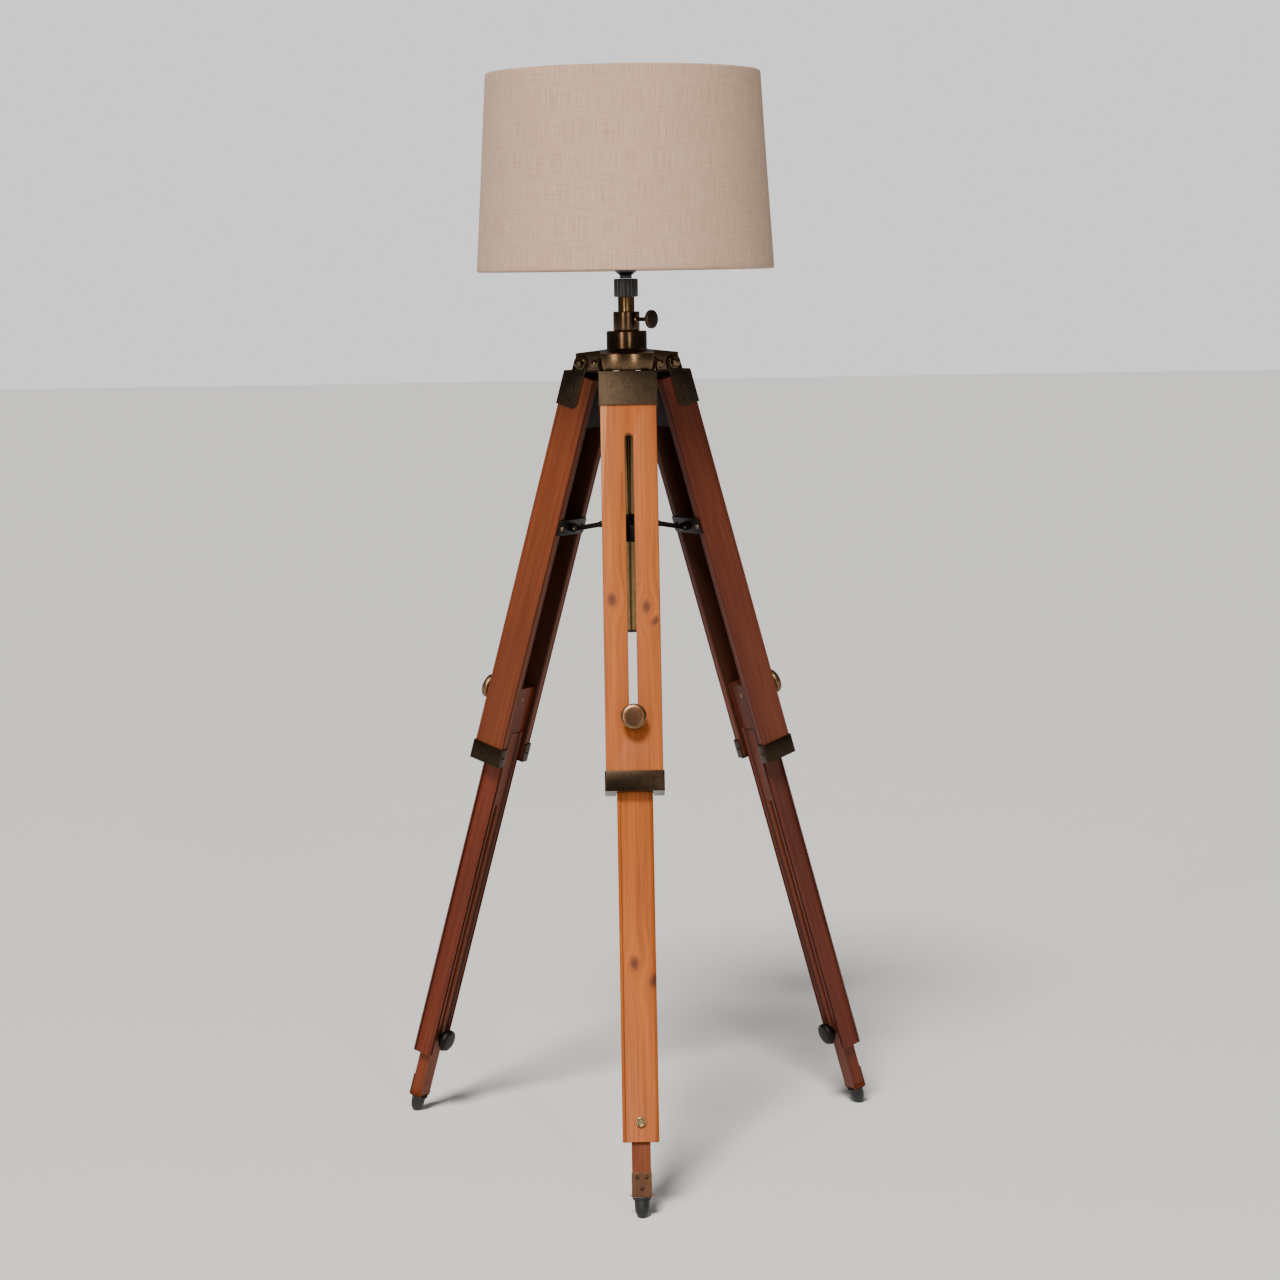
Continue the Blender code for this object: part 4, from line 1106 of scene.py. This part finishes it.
def makeCap(side, matrix, shape):
    low, high = extent("leg_cap_" + side, matrix)
    sheet, edge = shape["sheet"], shape["metalEdge"]
    reach, outer = high.x, low.y
    boardHigh = extent("upper_board_" + side, matrix)[1]
    top, end = boardHigh.z + 0.001, low.z
    inner = high.y
    front = plate([roundRect((-reach, end), (reach, top), 0.0008)], sheet, edge,
                  onFace(0, outer + sheet / 2, 0))
    cheek = [(outer + 0.0004, top), (outer + 0.0004, end),
             *arc((inner - 0.010, end + 0.010), 0.010, 270, 360, 8),
             (inner, top - 0.0015), (inner - 0.0015, top), (0.0117, top), *arc((0, 0), 0.0115, 0, 180, 20),
             (-0.0117, top)]
    cheeks = [plate([cheek], sheet, edge, onSide(hand * (reach - sheet / 2), 0, 0)) for hand in (-1, 1)]
    addPiece("hinge_cap_" + side, front, "leg_" + side, capBronze, ["leg_cap_" + side], matrix)
    addPiece("hinge_cheeks_" + side, joined(*cheeks), "leg_" + side, cheekShadedBronze,
             ["leg_cap_" + side], matrix)
    screws = []
    for hand in (-1, 1):
        for y, z, turn in ((-0.0035, -0.0370, 25), (-0.0042, -0.0610, 70)):
            face = Matrix.Translation((hand * reach, y, z)) @ turned(90 * hand, "Y")
            screws.append((screwHead(0.0030, 0.0015, "slot"), face @ turned(turn, "Z")))
    addPiece("cap_screws_" + side, joined(*screws), "leg_" + side, darkBronze, [], matrix)


def makePin(side):
    matrix = Matrix.Translation(joints["leg_fold_" + side]["pos_m"]) @ turns[side].to_3x3().to_4x4()
    high = extent("hinge_pin_" + side, matrix)[1]
    capHigh = extent("leg_cap_" + side, legs[side])[1]
    face = capHigh.x + 0.0003
    half = [(0, high.x), (0.0040, high.x - 0.0006), (0.0068, high.x - 0.0028), (0.0076, high.x - 0.0056),
            (0.0076, face + 0.0019), (0.0092, face + 0.0018, 0.0004), (0.0092, face, 0.0003), (0.0040,
                                                                                               face, 0)]
    half = softened(half, 0.0012, 4)
    profile = half + [(r, -z) for r, z in reversed(half)]
    pin = lathe(profile, 48)
    turn = turned(90, "Y")
    addPiece("hinge_bolt_" + side, joined((pin, turn)), "head", hingeBrass,
             ["hinge_pin_" + side], matrix)


def makeBand(side, matrix, shape):
    low, high = extent("band_" + side, matrix)
    sheet, edge = shape["sheet"], shape["metalEdge"]
    inner = (high.x - sheet, high.y - sheet)
    front = low.y + sheet
    boardBack = front + shape["board"]
    way = 0.0275  # half the gap at the back
    parts = []
    strap = [(-way, high.y), (-way, inner[1]), (-inner[0], inner[1]), (-inner[0], front), (inner[0], front),
             (inner[0], inner[1]), (way, inner[1]), (way, high.y), (high.x, high.y, 0.0022), (high.x,
                                                                                              low.y, 0.0022),
             (low.x, low.y, 0.0022), (low.x, high.y, 0.0022)]
    strap = softened(strap[::-1], 0.0009, 4, closed=True)
    parts.append(plate([strap], high.z - low.z, edge, Matrix.Translation((0, 0, (low.z + high.z) / 2))))
    floor = [(-way, high.y - 0.001), (-way, boardBack), (way, boardBack), (way, high.y - 0.001),
             (high.x - 0.001, high.y - 0.001), (high.x - 0.001, low.y + 0.001), (low.x + 0.001,
                                                                                 low.y + 0.001),
             (low.x + 0.001, high.y - 0.001)]
    floor = softened(floor[::-1], 0.0009, 3, closed=True)
    parts.append(plate([floor], sheet + 0.0012, edge,
                       Matrix.Translation((0, 0, low.z + (sheet + 0.0012) / 2))))
    addPiece("end_band_" + side, joined(*parts), "leg_" + side, bandShadedBronze, ["band_" + side],
             matrix)
    screws = []
    for hand in (-1, 1):
        face = Matrix.Translation((hand * high.x, (low.y + high.y) / 2 + 0.002, (low.z + high.z) / 2))
        face = face @ turned(90 * hand, "Y")
        back = Matrix.Translation((hand * 0.0352, high.y, (low.z + high.z) / 2)) @ turned(-90, "X")
        screws.append((screwHead(0.0026, 0.0011, "slot"), back))
    addPiece("band_screws_" + side, joined(*screws), "leg_" + side, darkBronze, [], matrix)


def makeBracket(side, matrix):
    low, high = extent("bracket_" + side, matrix)
    railHigh = extent("upper_rail_a_" + side, matrix)[1]
    face = railHigh.y + 0.0003
    at = (low.z + high.z) / 2
    swing = matrix.inverted() @ Vector(joints["strut_swing_" + side]["pos_m"])
    strap = plate([roundRect((low.x, low.z), (high.x, high.z), 0.003)], 0.0025, 0.0006,
                  onFace(0, face + 0.00125, 0))
    parts = [strap]
    for hand in (-1, 1):
        x = hand * (spreaderShape["strutHalf"] + 0.0004 + spreaderShape["cheek"] / 2)
        ear = [(face + 0.0010, at - 0.0060), *arc((swing.y, swing.z), 0.0052, -90, 90, 15),
               (face + 0.0010, at + 0.0060)]
        parts.append(plate([ear], spreaderShape["cheek"], 0.0006, onSide(x, 0, 0)))
    addPiece("spreader_bracket_" + side, joined(*parts), "leg_" + side, blackMetal,
             ["bracket_" + side], matrix)
    reach = spreaderShape["strutHalf"] + spreaderShape["cheek"] + 0.0020
    pin = pinAlong((-reach, swing.y, swing.z), (reach, swing.y, swing.z), spreaderShape["pinRadius"], 20)
    heads = [pin]
    for hand in (-1, 1):
        back = Matrix.Translation((hand * (high.x - 0.0075), face + 0.0025, at)) @ turned(-90, "X")
        heads.append((screwHead(0.0036, 0.0016), back))
    addPiece("bracket_screws_" + side, joined(*heads), "leg_" + side, screwBrass, [], matrix)


def knobMesh(big, thick, waist, knurls=30):
    rows = [(big * 0.62, thick, 0), (big * 0.86, thick - 0.0004, 0), (big - 0.0006, thick - 0.0016, 0.6),
            (big, thick - 0.0030, 1), (big, thick * 0.35, 1), (big - 0.0008, thick * 0.2, 0.6), (waist,
                                                                                                 0.0, 0)]
    return knurledDisc(rows, knurls, 0.0004, thick + 0.0001, 0)


def makeKnobs(side, matrix):
    low, high = extent("upper_knob_" + side, matrix)
    at = (low.z + high.z) / 2
    boardLow = extent("upper_board_" + side, matrix)[0]
    face = boardLow.y - 0.0003
    big = (high.x - low.x) / 2
    disc = low.y + 0.0125
    knob = knobMesh(big, 0.0125, 0.0150, 36)
    stem = pinAlong((0, face - 0.001, at), (0, high.y, at), 0.0040)
    neck = pinAlong((0, face - 0.001, at), (0, -0.0076, at), 0.0058)
    boss = pinAlong((0, disc - 0.001, at), (0, face, at), 0.0085, 40, 0.08)
    addPiece("clamp_knob_" + side, joined((knob, onFace(0, disc, at)), boss, stem, neck, angle=40),
             "upper_knob_" + side,
             knobBronze, ["upper_knob_" + side], matrix)
    low, high = extent("lower_knob_" + side, matrix)
    at = (low.z + high.z) / 2
    midHigh = extent("middle_stage_" + side, matrix)[1]
    face = midHigh.y + 0.0003
    big = (high.x - low.x) / 2
    turn = Matrix.Translation((0, face + 0.0064, at)) @ turned(-90, "X")
    knob = knobMesh(big, high.y - face - 0.0064, 0.0150, 30)
    bush = pinAlong((0, face, at), (0, face + 0.0080, at), 0.0080, 40, 0.1)
    addPiece("stage_knob_" + side, joined((knob, turn), bush, angle=40), "lower_knob_" + side,
             blackMetal,
             ["lower_knob_" + side], matrix)


for side in sides:
    makeUpper(side, legs[side], legShape)
    makeMiddle(side, legs[side], legShape)
    makeLower(side, legs[side], legShape)
    makeCap(side, legs[side], legShape)
    makePin(side)
    makeBand(side, legs[side], legShape)
    makeBracket(side, legs[side])
    makeKnobs(side, legs[side])
    print(side, "leg made")


# Floor and light

studio = {
    "floor": (0.80, 0.80, 0.795),
    "sky": (1.0, 1.0, 1.0),
    "skyStrength": 0.10,  # what the sky lends to the object
    "skySeen": 1.12,  # and how bright it stands behind it
    "sun": {"turn": -17, "height": 52, "softness": 16, "power": 4.5, "colour": (1.0, 0.97, 0.93)},
    "boxes": (
        {"turn": -30, "height": 1.9, "away": 3.4, "wide": 0.30, "tall": 1.6, "power": 36,
         "colour": (1.0, 0.90, 0.78)},
        {"turn": 16, "height": 1.8, "away": 3.6, "wide": 0.22, "tall": 1.6, "power": 24,
         "colour": (1.0, 0.92, 0.82)},
    ),
}


def makeStudio(setup):
    bm = bmesh.new()
    bmesh.ops.create_grid(bm, x_segments=8, y_segments=8, size=40)
    floor = bpy.data.objects.new("studio_floor", meshFrom(bm))
    bpy.context.scene.collection.objects.link(floor)
    finish, add = newFinish("pale_floor")
    here = add("ShaderNodeTexCoord").outputs["Object"]
    tone = mixed(add, noise(add, here, 1.5, 2), rgb(setup["floor"], 0.985), rgb(setup["floor"], 1.01))
    surface(add, tone, ranged(add, noise(add, here, 90, 2), 0.3, 0.7, 0.85, 0.95))
    floor.data.materials.append(finish)

    world = bpy.data.worlds.new("studio_sky")
    world.use_nodes = True
    tree = world.node_tree
    tree.nodes.clear()
    lending = tree.nodes.new("ShaderNodeBackground")
    lending.inputs["Color"].default_value = rgb(setup["sky"])
    lending.inputs["Strength"].default_value = setup["skyStrength"]
    seen = tree.nodes.new("ShaderNodeBackground")
    seen.inputs["Color"].default_value = rgb(setup["sky"])
    seen.inputs["Strength"].default_value = setup["skySeen"]
    choice = tree.nodes.new("ShaderNodeMixShader")
    rays = tree.nodes.new("ShaderNodeLightPath")
    result = tree.nodes.new("ShaderNodeOutputWorld")
    tree.links.new(rays.outputs["Is Camera Ray"], choice.inputs[0])
    tree.links.new(lending.outputs[0], choice.inputs[1])
    tree.links.new(seen.outputs[0], choice.inputs[2])
    tree.links.new(choice.outputs[0], result.inputs["Surface"])
    bpy.context.scene.world = world

    def around(turn, height, away):
        angle = math.radians(turn - 90)
        return Vector((away * math.cos(angle), away * math.sin(angle), height))

    def aimed(spot, target):
        turn = (Vector(target) - spot).to_track_quat("-Z", "Y").to_matrix().to_4x4()
        return Matrix.Translation(spot) @ turn

    sun = setup["sun"]
    data = bpy.data.lights.new("key_sun", "SUN")
    data.energy = sun["power"]
    data.angle = math.radians(sun["softness"])
    data.color = sun["colour"]
    light = bpy.data.objects.new("key_sun", data)
    bpy.context.scene.collection.objects.link(light)
    light.matrix_world = aimed(around(sun["turn"], 5.0 * math.tan(math.radians(sun["height"])), 5.0),
                               (0, 0, 0))
    for number, box in enumerate(setup["boxes"]):
        data = bpy.data.lights.new("softbox_" + str(number + 1), "AREA")
        data.shape = "RECTANGLE"
        data.size = box["wide"]
        data.size_y = box["tall"]
        data.energy = box["power"]
        data.color = box["colour"]
        light = bpy.data.objects.new(data.name, data)
        bpy.context.scene.collection.objects.link(light)
        spot = around(box["turn"], box["height"], box["away"])
        light.matrix_world = aimed(spot, (0, 0, spot.z - 0.4))


makeStudio(studio)
print("studio made")
